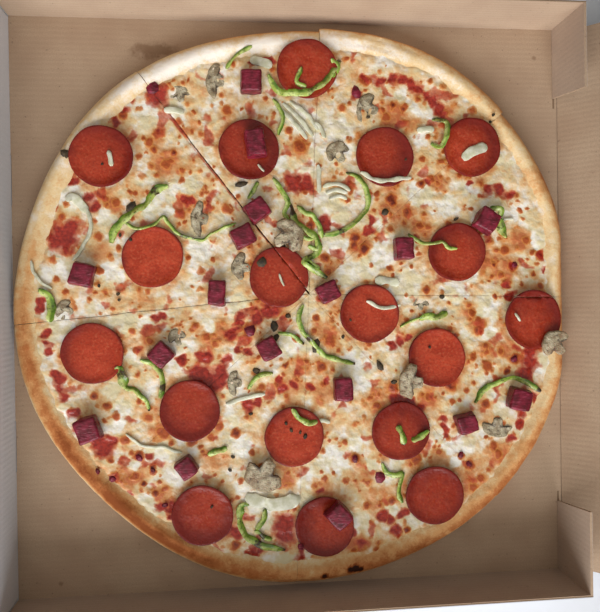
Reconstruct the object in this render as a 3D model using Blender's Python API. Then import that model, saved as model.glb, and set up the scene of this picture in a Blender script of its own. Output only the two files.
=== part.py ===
"""A pizza cut in eight, lying in its open cardboard box.

All constants are in millimetres and degrees, and the finished meshes are in metres.
+X runs from the front of the box to the lid's hinge, +Z is up, and the origin is the
middle of the tray's underside. Places read off the photograph are pixels of its
600 x 612 frame, and from_photo() turns them into places on the pizza.
"""
import math

import bmesh
import bpy
from mathutils import Euler, Matrix, Vector

MM = 0.001
GAP = 0.3

# Corrugated board and the tray that is folded from it
BOARD = 1.6
TRAY_INSIDE = 355.0
WALL_HEIGHT = 43.0
ROLL_OVER_DEPTH = 9.0
ROLL_OVER_END_GAP = 1.0
LOCK_TAB_WIDTH = 30.0
LOCK_TAB_PLACES = (78.0, -84.0)
LOCK_TAB_CLEARANCE = 0.4
CORNER_FLAP_FOOT = 45.0
CORNER_FLAP_TOP = 50.0

# Back wall and lid, which turn on creases
BACK_WALL_HALF_WIDTH = 174.5
BACK_WALL_LEAN = 42.0
CREASE_GAP = 0.3
CREASE_SIDES = 6
LID_CLEARANCE = 0.4
LID_REACH = 345.5
LID_HALF_WIDTH = 176.8
LID_SIDE_FLAP_DEPTH = 36.0
LID_SIDE_FLAP_ENDS = (30.0, 330.0)
LID_FRONT_FLAP_DEPTH = 23.0
LID_FRONT_FLAP_HALF_WIDTH = 171.0
LID_FLAP_TAPER = 8.0
LID_TO_TABLE = 0.2

# Pizza: the base, its raised rim, and the cheese that fills it
PIZZA_CENTRE = (9.6, 0.0)
PIZZA_RADIUS = 173.4
PIZZA_REAR_LIMIT = 176.3
REAR_SOFTNESS = 1.5
EDGE_WAVES = ((2, 1.0, 1.5), (3, 1.15, -0.7), (4, 0.6, -1.7), (5, 1.05, -2.8), (6, 0.8, 0.4))
PIZZA_SIDES = 72
CHEESE_FIELD = 9.6
RIM_HEIGHT = 13.0
RIM_INSETS = (5.5, 9.0)
FUSED_MARGIN = 17.0

# How far in from the edge, and how high above the floor of the box, a section passes.
# A height of None is the rim's own height at that side of the pizza.
CRUST_UNDERSIDE = ((24.0, 0.0), (5.0, 0.0), (1.4, 1.4), (0.0, 5.0))
CRUST_TOP = ((0.8, 8.6), (2.8, 11.4), (5.5, None), (9.0, None), (12.4, 8.4), (15.5, 6.3), (24.0, 6.0))
CHEESE_UNDERSIDE = ((24.0, 6.4), (16.0, 6.8), (12.9, 9.0), (10.9, 10.9))
CHEESE_TOP = ((12.0, 11.9), (15.0, 11.0), (22.0, 9.9))

# The four strokes of the cutter, as the pixels where they leave the rim in turn
CUT_MEETING = (309, 294)
CUT_ENDS = ((572, 297), (498, 117), (320, 30), (137, 70), (16, 325), (96, 493), (297, 583), (497, 496))
CUT_HALF_GAPS = (0.25, 0.2, 0.25, 0.65, 0.25, 0.2, 0.2, 0.2)
SLICE_SHIFTS = (0.2, 2.2, 0.2, 0.9, 0.5, 0.4, 0.2, 0.4)

# Where the photograph was taken from, in the tray's frame
PHOTO_CENTRE = (300, 306)
VIEW_FOCAL = 680.0
VIEW_POINT = Vector((-37.4, 2.1, 430.5))
VIEW_TURN = Euler([math.radians(a) for a in (-0.35, -5.87, -0.87)]).to_matrix()

# Sliced sausage
PEPPERONI_RADIUS = 18.4
PEPPERONI_SIDES = 18
PEPPERONI_SECTION = ((0.0, 0.0), (0.62, 0.0), (1.0, 1.3), (0.95, 2.5), (0.7, 1.7), (0.0, 1.5))
PEPPERONI_PLACES = (
    (306, 71), (103, 158), (249, 150), (384, 157), (470, 148), (153, 257), (456, 252), (369, 313),
    (93, 353), (436, 357), (190, 410), (294, 436), (400, 430), (433, 493), (203, 513), (324, 525),
)
# Two slices that the cutter went through, each with two pixels on the stroke
CUT_PEPPERONI = (((279, 277), (247, 215), (309, 292)), ((530, 319), (500, 297), (560, 297)))
CUT_PEPPERONI_GAP = 0.4

# Diced cured meat: place, turn, and length, width and height
MEAT_CUBES = (
    ((251, 84), 0, 13, 14, 9), ((255, 146), 8, 12, 17, 9), ((257, 211), 35, 13, 13, 9),
    ((243, 237), 25, 14, 13, 9), ((84, 275), -15, 14, 14, 9), ((217, 293), -3, 11, 16, 8),
    ((162, 354), 45, 13, 13, 9), ((268, 348), 28, 13, 13, 9), ((342, 388), 2, 12, 15, 9),
    ((90, 428), 18, 14, 15, 9), ((187, 466), 35, 12, 12, 8), ((337, 512), 42, 13, 14, 8),
    ((464, 422), 14, 13, 12, 9), ((516, 398), -14, 14, 14, 9), ((482, 222), -30, 14, 14, 9),
    ((402, 249), 4, 12, 14, 9), ((327, 292), 25, 14, 12, 8),
)
CUBE_TAPER = 0.93
CUBE_LAY_SHARE = 0.85

# Mushroom slices: place, turn, width and height. The first four are nodes of their own.
MUSHROOMS = (
    ((265, 470), 150, 24, 21), ((285, 238), -60, 22, 19), ((411, 381), 80, 22, 16), ((551, 345), 40, 19, 17),
    ((216, 80), 80, 22, 12), ((180, 94), 10, 13, 11), ((368, 108), 70, 20, 14), ((338, 153), 30, 16, 15),
    ((242, 267), 85, 17, 12), ((65, 310), 70, 14, 11), ((188, 222), 0, 10, 9), ((177, 338), 20, 11, 11),
    ((235, 383), 85, 17, 9), ((497, 427), 170, 20, 13), ((421, 304), 0, 11, 9),
)
MUSHROOM_NODES = 4
MUSHROOM_THICKNESS = 3.0
SUNK = 0.9

# Green pepper and onion strips: the width, then the pixels that each one passes
STRIPS = (
    (4.0, (111, 243), (115, 230), (130, 214), (146, 204), (156, 190), (168, 186)),
    (3.5, (290, 208), (296, 221), (308, 231), (317, 240), (317, 253), (303, 262)),
    (3.0, (367, 200), (361, 216), (350, 226), (337, 232), (322, 235)),
    (3.0, (303, 306), (299, 316), (302, 329), (312, 342), (324, 355), (340, 360), (355, 364)),
    (3.0, (141, 360), (153, 364), (161, 374), (163, 386), (160, 398)),
    (4.0, (39, 290), (48, 295), (52, 308), (50, 322)),
    (3.0, (477, 403), (483, 389), (499, 381), (513, 378), (527, 382), (542, 391)),
    (5.0, (400, 327), (412, 321), (423, 317), (436, 314), (447, 312)),
    (4.5, (247, 505), (241, 514), (242, 525), (252, 538), (268, 545), (284, 550)),
    (3.5, (382, 465), (390, 474), (398, 477), (397, 486), (397, 493), (402, 501)),
    (4.0, (437, 122), (445, 128), (444, 139), (437, 147), (431, 141)),
    (4.0, (493, 207), (500, 212), (498, 224), (503, 238)),
    (3.0, (226, 69), (236, 56), (252, 48)),
    (3.0, (85, 204), (91, 225), (85, 243), (73, 261)),
    (3.5, (226, 404), (246, 398), (265, 394)),
    (3.0, (128, 435), (143, 446), (163, 448), (182, 451)),
    (9.0, (288, 108), (297, 118), (307, 130)),
    (10.0, (251, 498), (274, 500), (296, 501)),
    (4.0, (318, 165), (319, 178), (322, 192)),
    (8.0, (330, 190), (344, 191)),
)
STRIP_THICKNESS = 2.6
STRIP_STATIONS_EACH = 3
STRIP_SIDES = 6
STRIP_CLEARANCE = 1.0

KRAFT = "A98A6D"
CRUST_BROWN = "D9A468"
CHEESE_WHITE = "EBDCC0"
SAUSAGE_RED = "A8392B"
CURED_RED = "7B2038"
MUSHROOM_GREY = "A8937C"


def clear_scene():
    for old in list(bpy.data.objects):
        bpy.data.objects.remove(old, do_unlink=True)


def from_srgb(code):
    """Linear colour of a six-digit sRGB hex code."""
    values = [int(code[i:i + 2], 16) / 255 for i in (0, 2, 4)]
    linear = [v / 12.92 if v <= 0.04045 else ((v + 0.055) / 1.055) ** 2.4 for v in values]
    return (*linear, 1.0)


def make_material(name, code, roughness):
    material = bpy.data.materials.new(name)
    material.use_nodes = True
    shader = material.node_tree.nodes["Principled BSDF"]
    shader.inputs["Base Color"].default_value = from_srgb(code)
    shader.inputs["Roughness"].default_value = roughness
    return material


def add_object(name, bm, material, collection):
    """Turn a bmesh in millimetres into an object in metres."""
    bmesh.ops.recalc_face_normals(bm, faces=bm.faces)
    bmesh.ops.scale(bm, vec=(MM, MM, MM), verts=bm.verts)
    mesh = bpy.data.meshes.new(name)
    bm.to_mesh(mesh)
    bm.free()
    mesh.materials.append(material)
    built = bpy.data.objects.new(name, mesh)
    collection.objects.link(built)
    return built


def combine(target, others, operation):
    """Apply one Boolean of a collection of objects to the target, and remove them."""
    bench = bpy.data.collections.new("bench")
    bpy.context.scene.collection.children.link(bench)
    for other in others:
        for home in list(other.users_collection):
            home.objects.unlink(other)
        bench.objects.link(other)
    modifier = target.modifiers.new("combine", "BOOLEAN")
    modifier.operation = operation
    modifier.operand_type = "COLLECTION"
    modifier.collection = bench
    modifier.solver = "EXACT"
    bpy.context.view_layer.update()
    evaluated = target.evaluated_get(bpy.context.evaluated_depsgraph_get())
    result = bpy.data.meshes.new_from_object(evaluated)
    target.modifiers.clear()
    target.data = result
    for other in others:
        bpy.data.objects.remove(other, do_unlink=True)
    bpy.data.collections.remove(bench)
    return target


def loft(bm, rings):
    """Skin between closed rings of points; a ring of one point is a pole."""
    rows = [[bm.verts.new(point) for point in ring] for ring in rings]
    for low, high in zip(rows, rows[1:]):
        count = max(len(low), len(high))
        for i in range(count):
            j = (i + 1) % count
            corners = (low[i % len(low)], low[j % len(low)], high[j % len(high)], high[i % len(high)])
            bm.faces.new(list(dict.fromkeys(corners)))
    for row in (rows[0], rows[-1]):
        if len(row) > 2:
            bm.faces.new(row)


def block(low, high):
    """A box between two corners."""
    bm = bmesh.new()
    size = [b - a for a, b in zip(low, high)]
    middle = [(a + b) / 2 for a, b in zip(low, high)]
    bmesh.ops.create_cube(bm, size=1.0)
    bmesh.ops.scale(bm, vec=size, verts=bm.verts)
    bmesh.ops.translate(bm, vec=middle, verts=bm.verts)
    return bm


def extrusion(outline, axis, low, high):
    """A flat outline run along an axis: its two coordinates are the other two axes in order."""
    bm = bmesh.new()

    def ring(along):
        points = []
        for pair in outline:
            point = list(pair)
            point.insert("XYZ".index(axis), along)
            points.append(point)
        return points

    loft(bm, [ring(low), ring(high)])
    return bm


def half_round(centre, radius, start):
    """Points of a half circle that starts at an angle and turns anticlockwise."""
    angles = [math.radians(start + 180 * i / CREASE_SIDES) for i in range(CREASE_SIDES + 1)]
    return [(centre[0] + radius * math.cos(a), centre[1] + radius * math.sin(a)) for a in angles]


INSIDE = TRAY_INSIDE / 2
OUTSIDE = INSIDE + BOARD
HINGE_X = INSIDE + BOARD / 2
HINGE_Z = BOARD / 2
FRONT_INNER = -INSIDE + ROLL_OVER_DEPTH
FLAP_OUTER = INSIDE - 0.5
LID_AXIS = WALL_HEIGHT + LID_CLEARANCE
FOOD_FLOOR = BOARD + GAP


def tray(material, collection):
    """Floor, side walls, front wall with its roll-over and lock tabs, and rear corner flaps."""
    floor_end = half_round((HINGE_X, HINGE_Z), BOARD / 2, -90)
    base = add_object("tray", extrusion([(-OUTSIDE, 0), *floor_end, (-OUTSIDE, BOARD)], "Y", -OUTSIDE, OUTSIDE),
                      material, collection)
    slots = []
    for place in LOCK_TAB_PLACES:
        half = LOCK_TAB_WIDTH / 2 + LOCK_TAB_CLEARANCE
        low = (FRONT_INNER - BOARD - LOCK_TAB_CLEARANCE, place - half, -1)
        high = (FRONT_INNER + LOCK_TAB_CLEARANCE, place + half, BOARD + 1)
        slots.append(add_object("slot", block(low, high), material, collection))
    combine(base, slots, "DIFFERENCE")

    walls = [
        block((-OUTSIDE, -OUTSIDE, 0), (-INSIDE, OUTSIDE, WALL_HEIGHT)),
        block((-OUTSIDE, -OUTSIDE, WALL_HEIGHT - BOARD), (FRONT_INNER, OUTSIDE, WALL_HEIGHT)),
        block((FRONT_INNER - BOARD, -INSIDE + ROLL_OVER_END_GAP, BOARD + GAP),
              (FRONT_INNER, INSIDE - ROLL_OVER_END_GAP, WALL_HEIGHT)),
    ]
    for place in LOCK_TAB_PLACES:
        walls.append(block((FRONT_INNER - BOARD, place - LOCK_TAB_WIDTH / 2, BOARD * 0.4),
                           (FRONT_INNER, place + LOCK_TAB_WIDTH / 2, WALL_HEIGHT)))
    for side in (-1, 1):
        wall = sorted((side * INSIDE, side * OUTSIDE))
        walls.append(block((-OUTSIDE, wall[0], 0), (FLAP_OUTER, wall[1], WALL_HEIGHT)))
        flap = [(side * OUTSIDE, BOARD + GAP), (side * (INSIDE - CORNER_FLAP_FOOT), BOARD + GAP),
                (side * (INSIDE - CORNER_FLAP_TOP), WALL_HEIGHT), (side * OUTSIDE, WALL_HEIGHT)]
        walls.append(extrusion(flap, "X", FLAP_OUTER - BOARD, FLAP_OUTER))
    pieces = [add_object("panel", wall, material, collection) for wall in walls]
    return combine(base, pieces, "UNION")


def back_wall(material, collection):
    """The wall that turns on the floor's rear crease, built upright on its own axis."""
    foot = BOARD / 2 + CREASE_GAP
    outline = [(-BOARD / 2, foot), (BOARD / 2, foot), *half_round((0, LID_AXIS), BOARD / 2, 0)]
    wall = add_object("back_wall", extrusion(outline, "Y", -BACK_WALL_HALF_WIDTH, BACK_WALL_HALF_WIDTH),
                      material, collection)
    wall.location = Vector((HINGE_X, 0, HINGE_Z)) * MM
    wall.rotation_euler.y = math.radians(BACK_WALL_LEAN)
    return wall


def lid_rest_angle():
    """Turn from shut to open, with the lid's far edge just clear of the table."""
    height = HINGE_Z + LID_AXIS * math.cos(math.radians(BACK_WALL_LEAN)) - LID_TO_TABLE
    slope = math.asin(height / math.hypot(LID_REACH, BOARD / 2)) - math.atan2(BOARD / 2, LID_REACH)
    return 180 + math.degrees(slope)


def lid(wall, material, collection):
    """Lid panel with a front flap and two side flaps, built shut on the back wall's top crease."""
    half = BOARD / 2
    start = half + CREASE_GAP
    panel = add_object("lid", block((-LID_REACH, -LID_HALF_WIDTH, -half), (-start, LID_HALF_WIDTH, half)),
                       material, collection)
    near, far = LID_SIDE_FLAP_ENDS
    side_outline = [(-near, half), (-near, -half), (-near - LID_FLAP_TAPER, -half - LID_SIDE_FLAP_DEPTH),
                    (-far + LID_FLAP_TAPER, -half - LID_SIDE_FLAP_DEPTH), (-far, -half), (-far, half)]
    wide = LID_FRONT_FLAP_HALF_WIDTH
    front_outline = [(-wide, half), (-wide, -half), (-wide + LID_FLAP_TAPER, -half - LID_FRONT_FLAP_DEPTH),
                     (wide - LID_FLAP_TAPER, -half - LID_FRONT_FLAP_DEPTH), (wide, -half), (wide, half)]
    flaps = [extrusion(front_outline, "X", -LID_REACH, -LID_REACH + BOARD)]
    for side in (-1, 1):
        edges = sorted((side * (LID_HALF_WIDTH - BOARD), side * LID_HALF_WIDTH))
        flaps.append(extrusion(side_outline, "Y", *edges))
    combine(panel, [add_object("flap", flap, material, collection) for flap in flaps], "UNION")
    panel.parent = wall
    panel.location = Vector((0, 0, LID_AXIS)) * MM
    panel.rotation_euler.y = math.radians(lid_rest_angle() - BACK_WALL_LEAN)
    return panel


def from_photo(pixel, height):
    """The place at a height above the table that shows at a pixel of the photograph."""
    ray = VIEW_TURN @ Vector((pixel[0] - PHOTO_CENTRE[0], PHOTO_CENTRE[1] - pixel[1], -VIEW_FOCAL))
    return VIEW_POINT + ray * ((height - VIEW_POINT.z) / ray.z)


def edge_radius(angle):
    """Hand-stretched outline, with its rear side pressed straight by the back wall."""
    waves = sum(amount * math.sin(count * angle + phase) for count, amount, phase in EDGE_WAVES)
    free = PIZZA_RADIUS + waves
    if math.cos(angle) < 0.5:
        return free
    held = (PIZZA_REAR_LIMIT - PIZZA_CENTRE[0]) / math.cos(angle)
    nearest = min(free, held)
    apart = abs(free - held) / REAR_SOFTNESS
    return nearest - REAR_SOFTNESS * math.log(1 + math.exp(-apart))


def rim_height(angle):
    return RIM_HEIGHT + 0.7 * math.sin(3 * angle + 1.0) + 0.5 * math.sin(8 * angle + 0.4)


def section_rings(section, centre):
    """One ring round the pizza for each point of a section."""
    rings = []
    for inset, height in section:
        ring = []
        for i in range(PIZZA_SIDES):
            angle = 2 * math.pi * i / PIZZA_SIDES
            reach = edge_radius(angle) - inset
            level = rim_height(angle) if height is None else height
            if inset == RIM_INSETS[1] and height is None:
                level -= 1.6
            ring.append((centre[0] + reach * math.cos(angle), centre[1] + reach * math.sin(angle),
                         FOOD_FLOOR + level))
        rings.append(ring)
    return rings


def round_layer(under, top, under_pole, top_pole, centre):
    """A whole round layer of the pizza between an underside and a top section."""
    bm = bmesh.new()
    poles = [(centre[0], centre[1], FOOD_FLOOR + level) for level in (under_pole, top_pole)]
    loft(bm, [[poles[0]], *section_rings(under, centre), *section_rings(top, centre), [poles[1]]])
    return bm


def ground(place):
    """Height of the cheese, or of the rim beyond it, under a place on the pizza."""
    offset = Vector(place[:2]) - Vector(PIZZA_CENTRE)
    angle = math.atan2(offset.y, offset.x)
    inset = edge_radius(angle) - offset.length
    rim = rim_height(angle)
    steps = [(1e3, CHEESE_FIELD), *reversed(CHEESE_TOP), (RIM_INSETS[1], rim), (-1e3, rim)]
    for (far, low), (near, high) in zip(steps, steps[1:]):
        if near <= inset <= far:
            return FOOD_FLOOR + low + (high - low) * (far - inset) / (far - near)
    return FOOD_FLOOR + rim


def inset_at(place):
    offset = Vector(place[:2]) - Vector(PIZZA_CENTRE)
    return edge_radius(math.atan2(offset.y, offset.x)) - offset.length


def wedge(index):
    """The space that one slice may fill: from the cuts' meeting point out past the rim."""
    meeting = from_photo(CUT_MEETING, FOOD_FLOOR + CHEESE_FIELD).to_2d()
    ends = [from_photo(CUT_ENDS[i % len(CUT_ENDS)], FOOD_FLOOR + RIM_HEIGHT).to_2d() for i in (index, index + 1)]
    gaps = [CUT_HALF_GAPS[i % len(CUT_ENDS)] for i in (index, index + 1)]
    rays = [(end - meeting).normalized() for end in ends]
    across = [Vector((-rays[0].y, rays[0].x)), Vector((rays[1].y, -rays[1].x))]
    starts = [meeting + across[i] * gaps[i] for i in (0, 1)]
    spread = rays[0].x * rays[1].y - rays[0].y * rays[1].x
    offset = starts[1] - starts[0]
    along = (offset.x * rays[1].y - offset.y * rays[1].x) / spread
    tip = starts[0] + rays[0] * along
    middle = (rays[0] + rays[1]).normalized()
    reach = 2 * PIZZA_RADIUS
    outline = [tip, starts[0] + rays[0] * reach, meeting + middle * reach, starts[1] + rays[1] * reach]
    return [tuple(point) for point in outline], middle


def pizza_slices(materials, fused, collection):
    """Eight slices, each a base with its rim and the cheese that lies in it."""
    for index in range(len(CUT_ENDS)):
        outline, outward = wedge(index)
        shift = outward * SLICE_SHIFTS[index]
        centre = (PIZZA_CENTRE[0] + shift.x, PIZZA_CENTRE[1] + shift.y)
        layers = (
            ("crust_slice", CRUST_UNDERSIDE, CRUST_TOP, 0.0, 6.0, "crust", ()),
            ("cheese_slice", CHEESE_UNDERSIDE, CHEESE_TOP, 6.4, CHEESE_FIELD, "cheese", fused),
        )
        for name, under, top, under_pole, top_pole, finish, extras in layers:
            layer = add_object(f"{name}_{index + 1}", round_layer(under, top, under_pole, top_pole, centre),
                               materials[finish], collection)
            if extras:
                lumps = [add_object("lump", make(), materials[finish], collection) for make in extras]
                combine(layer, lumps, "UNION")
            space = add_object("space", extrusion(outline, "Z", -5, 60), materials[finish], collection)
            combine(layer, [space], "INTERSECT")


class Pile:
    """What has been laid so far, as discs with a top, so that the next piece rests on it."""

    def __init__(self):
        self.discs = []

    def rest_height(self, place, radius):
        samples = [place[:2]]
        for i in range(12):
            angle = math.pi * i / 6
            samples.append((place[0] + radius * math.cos(angle), place[1] + radius * math.sin(angle)))
        heights = [ground(sample) for sample in samples]
        for x, y, reach, top in self.discs:
            if math.hypot(place[0] - x, place[1] - y) < radius + reach:
                heights.append(top)
        return max(heights) + GAP

    def lay(self, place, radius, top):
        self.discs.append((place[0], place[1], radius, top))

    def is_clear(self, place, radius):
        return all(math.hypot(place[0] - x, place[1] - y) > radius + reach for x, y, reach, _ in self.discs)


def on_pizza(pixel):
    return from_photo(pixel, FOOD_FLOOR + CHEESE_FIELD)


def sausage_slice(place, base, seed):
    """A cupped round slice whose edge is a little uneven."""
    bm = bmesh.new()
    rings = []
    for share, height in PEPPERONI_SECTION:
        if share == 0:
            rings.append([(place[0], place[1], base + height)])
            continue
        ring = []
        for i in range(PEPPERONI_SIDES):
            angle = 2 * math.pi * i / PEPPERONI_SIDES
            reach = PEPPERONI_RADIUS * share * (1 + 0.015 * math.sin(2 * angle + seed) + 0.012 * math.sin(3 * angle))
            ring.append((place[0] + reach * math.cos(angle), place[1] + reach * math.sin(angle), base + height))
        rings.append(ring)
    loft(bm, rings)
    return bm


def lay_pepperoni(pile, material, collection):
    tall = max(height for _, height in PEPPERONI_SECTION)
    number = 0
    for pixel in PEPPERONI_PLACES:
        number += 1
        place = on_pizza(pixel)
        base = pile.rest_height(place, PEPPERONI_RADIUS)
        add_object(f"pepperoni_{number:02d}", sausage_slice(place, base, number), material, collection)
        pile.lay(place, PEPPERONI_RADIUS + 0.5, base + tall)
    for pixel, first, second in CUT_PEPPERONI:
        number += 1
        place = on_pizza(pixel)
        base = pile.rest_height(place, PEPPERONI_RADIUS)
        start, end = on_pizza(first).to_2d(), on_pizza(second).to_2d()
        along = (end - start).normalized()
        for letter, side in (("a", 1), ("b", -1)):
            across = Vector((-along.y, along.x)) * side
            near = start + across * CUT_PEPPERONI_GAP / 2
            reach = 3 * PEPPERONI_RADIUS
            outline = [near - along * reach, near + along * 2 * reach,
                       near + along * 2 * reach + across * reach, near - along * reach + across * reach]
            half = add_object(f"pepperoni_{number:02d}_{letter}", sausage_slice(place, base, number),
                              material, collection)
            space = add_object("space", extrusion([tuple(p) for p in outline], "Z", 0, 60), material, collection)
            combine(half, [space], "INTERSECT")
        pile.lay(place, PEPPERONI_RADIUS + 0.5, base + tall)


def meat_cube(place, base, turn, length, width, height):
    """A diced cube, a little narrower at the top."""
    bm = bmesh.new()
    rings = []
    for share, level in ((1.0, 0.0), (CUBE_TAPER, height)):
        corners = [(sx * length / 2 * share, sy * width / 2 * share) for sx, sy in ((-1, -1), (1, -1), (1, 1), (-1, 1))]
        turned = [Matrix.Rotation(math.radians(turn), 2) @ Vector(corner) for corner in corners]
        rings.append([(place[0] + c.x, place[1] + c.y, base + level) for c in turned])
    loft(bm, rings)
    return bm


def lay_cubes(pile, material, collection):
    for number, (pixel, turn, length, width, height) in enumerate(MEAT_CUBES, 1):
        place = on_pizza(pixel)
        radius = math.hypot(length, width) / 2 * 0.9
        base = pile.rest_height(place, radius)
        add_object(f"meat_cube_{number:02d}", meat_cube(place, base, turn, length, width, height),
                   material, collection)
        pile.lay(place, radius * CUBE_LAY_SHARE, base + height)


def mushroom_outline(width, height):
    """A cap with a stem under it, seen from the side."""
    cap = [(math.cos(a) * width / 2, math.sin(a) * height * 0.55) for a in
           [math.radians(12 * i + 0) for i in range(0, 16)]]
    stem = [(-width * 0.17, -height * 0.12), (-width * 0.14, -height * 0.42),
            (width * 0.14, -height * 0.42), (width * 0.17, -height * 0.12)]
    return cap[::1] + stem


def mushroom_slice(place, base, turn, width, height, sunk):
    """A flat slice through cap and stem with soft edges."""
    bm = bmesh.new()
    rings = []
    levels = ((0.95, -sunk), (1.0, MUSHROOM_THICKNESS * 0.45), (0.93, MUSHROOM_THICKNESS - sunk))
    for share, level in levels:
        turned = [Matrix.Rotation(math.radians(turn), 2) @ Vector(point) * share
                  for point in mushroom_outline(width, height)]
        rings.append([(place[0] + p.x, place[1] + p.y, base + level) for p in turned])
    loft(bm, rings)
    return bm


def lay_mushrooms(pile, material, collection):
    """The large slices are pieces of their own; the others come back as lumps of the cheese."""
    lumps = []
    for number, (pixel, turn, width, height) in enumerate(MUSHROOMS, 1):
        place = on_pizza(pixel)
        radius = width / 2
        if number <= MUSHROOM_NODES:
            base = pile.rest_height(place, radius)
            add_object(f"mushroom_{number}", mushroom_slice(place, base, turn, width, height, 0.0),
                       material, collection)
            pile.lay(place, radius + 0.5, base + MUSHROOM_THICKNESS)
        elif pile.is_clear(place, radius + GAP) and inset_at(place) > FUSED_MARGIN + radius:
            base = FOOD_FLOOR + CHEESE_FIELD
            lumps.append(lambda p=place, b=base, t=turn, w=width, h=height: mushroom_slice(p, b, t, w, h, SUNK))
    return lumps


def smooth_path(points, steps):
    """Places along a smooth curve through the given ones."""
    path = []
    ends = [points[0] * 2 - points[1], *points, points[-1] * 2 - points[-2]]
    for before, start, end, after in zip(ends, ends[1:], ends[2:], ends[3:]):
        for i in range(steps):
            t = i / steps
            path.append(0.5 * (2 * start + (end - before) * t + (2 * before - 5 * start + 4 * end - after) * t * t
                               + (3 * start - before - 3 * end + after) * t ** 3))
    path.append(points[-1])
    return path


def longest_clear_run(path, width, pile):
    """The longest stretch of a strip that keeps off the other toppings and the rim."""
    runs = [[]]
    for place in path:
        if pile.is_clear(place, width / 2 + STRIP_CLEARANCE) and inset_at(place) > FUSED_MARGIN + width / 2:
            runs[-1].append(place)
        elif runs[-1]:
            runs.append([])
    return max(runs, key=len)


def strip(path, width):
    """A flat strip of pepper or onion along its path, tapered at both ends."""
    bm = bmesh.new()
    rings = []
    for index, place in enumerate(path):
        ahead, behind = path[min(index + 1, len(path) - 1)], path[max(index - 1, 0)]
        along = (ahead - behind).to_2d().normalized()
        across = Vector((-along.y, along.x, 0))
        at_end = index in (0, len(path) - 1)
        half = width / 2 * (0.6 if at_end else 1.0)
        thick = STRIP_THICKNESS / 2 * (0.75 if at_end else 1.0)
        middle = Vector((place.x, place.y, FOOD_FLOOR + CHEESE_FIELD - SUNK + STRIP_THICKNESS / 2))
        ring = []
        for i in range(STRIP_SIDES):
            angle = math.pi * (2 * i + 1) / STRIP_SIDES
            ring.append(middle + across * half * math.cos(angle) + Vector((0, 0, thick * math.sin(angle))))
        rings.append(ring)
    loft(bm, rings)
    return bm


def lay_strips(pile):
    lumps = []
    for width, *pixels in STRIPS:
        path = smooth_path([on_pizza(pixel) for pixel in pixels], STRIP_STATIONS_EACH)
        run = longest_clear_run(path, width, pile)
        if len(run) >= 3:
            lumps.append(lambda r=run, w=width: strip(r, w))
    return lumps


def build():
    clear_scene()
    collection = bpy.data.collections.new("pizza_in_its_box")
    bpy.context.scene.collection.children.link(collection)
    materials = {
        "board": make_material("kraft_board", KRAFT, 0.85),
        "crust": make_material("crust", CRUST_BROWN, 0.7),
        "cheese": make_material("cheese", CHEESE_WHITE, 0.45),
        "sausage": make_material("pepperoni", SAUSAGE_RED, 0.4),
        "cured": make_material("cured_meat", CURED_RED, 0.45),
        "mushroom": make_material("mushroom", MUSHROOM_GREY, 0.6),
    }
    tray(materials["board"], collection)
    wall = back_wall(materials["board"], collection)
    lid(wall, materials["board"], collection)
    pile = Pile()
    lay_pepperoni(pile, materials["sausage"], collection)
    lay_cubes(pile, materials["cured"], collection)
    fused = lay_mushrooms(pile, materials["mushroom"], collection)
    fused += lay_strips(pile)
    pizza_slices(materials, fused, collection)


build()
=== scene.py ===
"""Looks of a pizza cut in eight, lying in its open corrugated box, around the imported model.

Sizes are named in millimetres and the finished meshes are in metres. A place read off the
photograph is a pixel of its 600 x 612 frame, which from_photo() turns into millimetres.
"""
import math
import random

import bmesh
import bpy
import numpy
from mathutils import Euler, Matrix, Vector, noise


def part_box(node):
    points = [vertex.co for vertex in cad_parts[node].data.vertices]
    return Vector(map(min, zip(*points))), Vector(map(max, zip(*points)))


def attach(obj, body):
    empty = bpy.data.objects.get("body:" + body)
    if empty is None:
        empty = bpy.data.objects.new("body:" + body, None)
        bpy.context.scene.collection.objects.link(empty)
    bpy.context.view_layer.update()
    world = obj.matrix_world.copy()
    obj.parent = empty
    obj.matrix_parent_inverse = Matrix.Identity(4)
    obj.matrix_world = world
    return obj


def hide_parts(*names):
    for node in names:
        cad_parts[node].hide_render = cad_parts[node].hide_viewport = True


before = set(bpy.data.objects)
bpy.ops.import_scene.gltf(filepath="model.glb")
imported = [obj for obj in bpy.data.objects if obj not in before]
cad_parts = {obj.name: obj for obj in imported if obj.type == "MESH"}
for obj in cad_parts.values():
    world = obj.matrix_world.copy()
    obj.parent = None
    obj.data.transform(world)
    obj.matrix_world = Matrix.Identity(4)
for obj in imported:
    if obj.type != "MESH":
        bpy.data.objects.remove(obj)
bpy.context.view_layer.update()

MM = 0.001
# Just under the box, so that the two do not meet face to face
TABLE_TOP = -0.1

# Camera, as fitted to the box's corners
IMAGE_HEIGHT = 612
PHOTO_CENTRE = (300, 306)
VIEW_FOCAL = 680.0
VIEW_POINT = Vector((-37.4, 2.1, 430.5))
VIEW_TURN = Euler([math.radians(a) for a in (-0.35, -5.87, -0.87)])

# Heights and insets of the pizza, as in its solids
FOOD_FLOOR = 1.9
CHEESE_FIELD = 9.6
PIZZA_CENTRE = Vector((9.6, 0.0))
RIM_HEIGHT = 13.0
RIM_WIDTH = 24.0
RIM_PUFFED = 20.0
RIM_RADIUS = 170.0
WIDEST_AT = 5.0
BASE_TOP = 6.0
# How far inside the rim's edge the cheese ends, by angle turning left from the right of the picture
CHEESE_EDGE = ((-180, 12.5), (-135, 13.5), (-90, 13.5), (-45, 12.5), (0, 9.5), (45, 12.0), (90, 13.5),
               (135, 13.0), (180, 12.5))
CHEESE_START = 7.0
CHEESE_FOOT = 6.2
CHEESE_STEP = 1.05
CHEESE_COLUMNS = 128
CRUST_COLUMNS = 112
# How far light travels inside dough and cheese, in metres for red, green and blue
FOOD_GLOW = (0.003, 0.002, 0.001)
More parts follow.
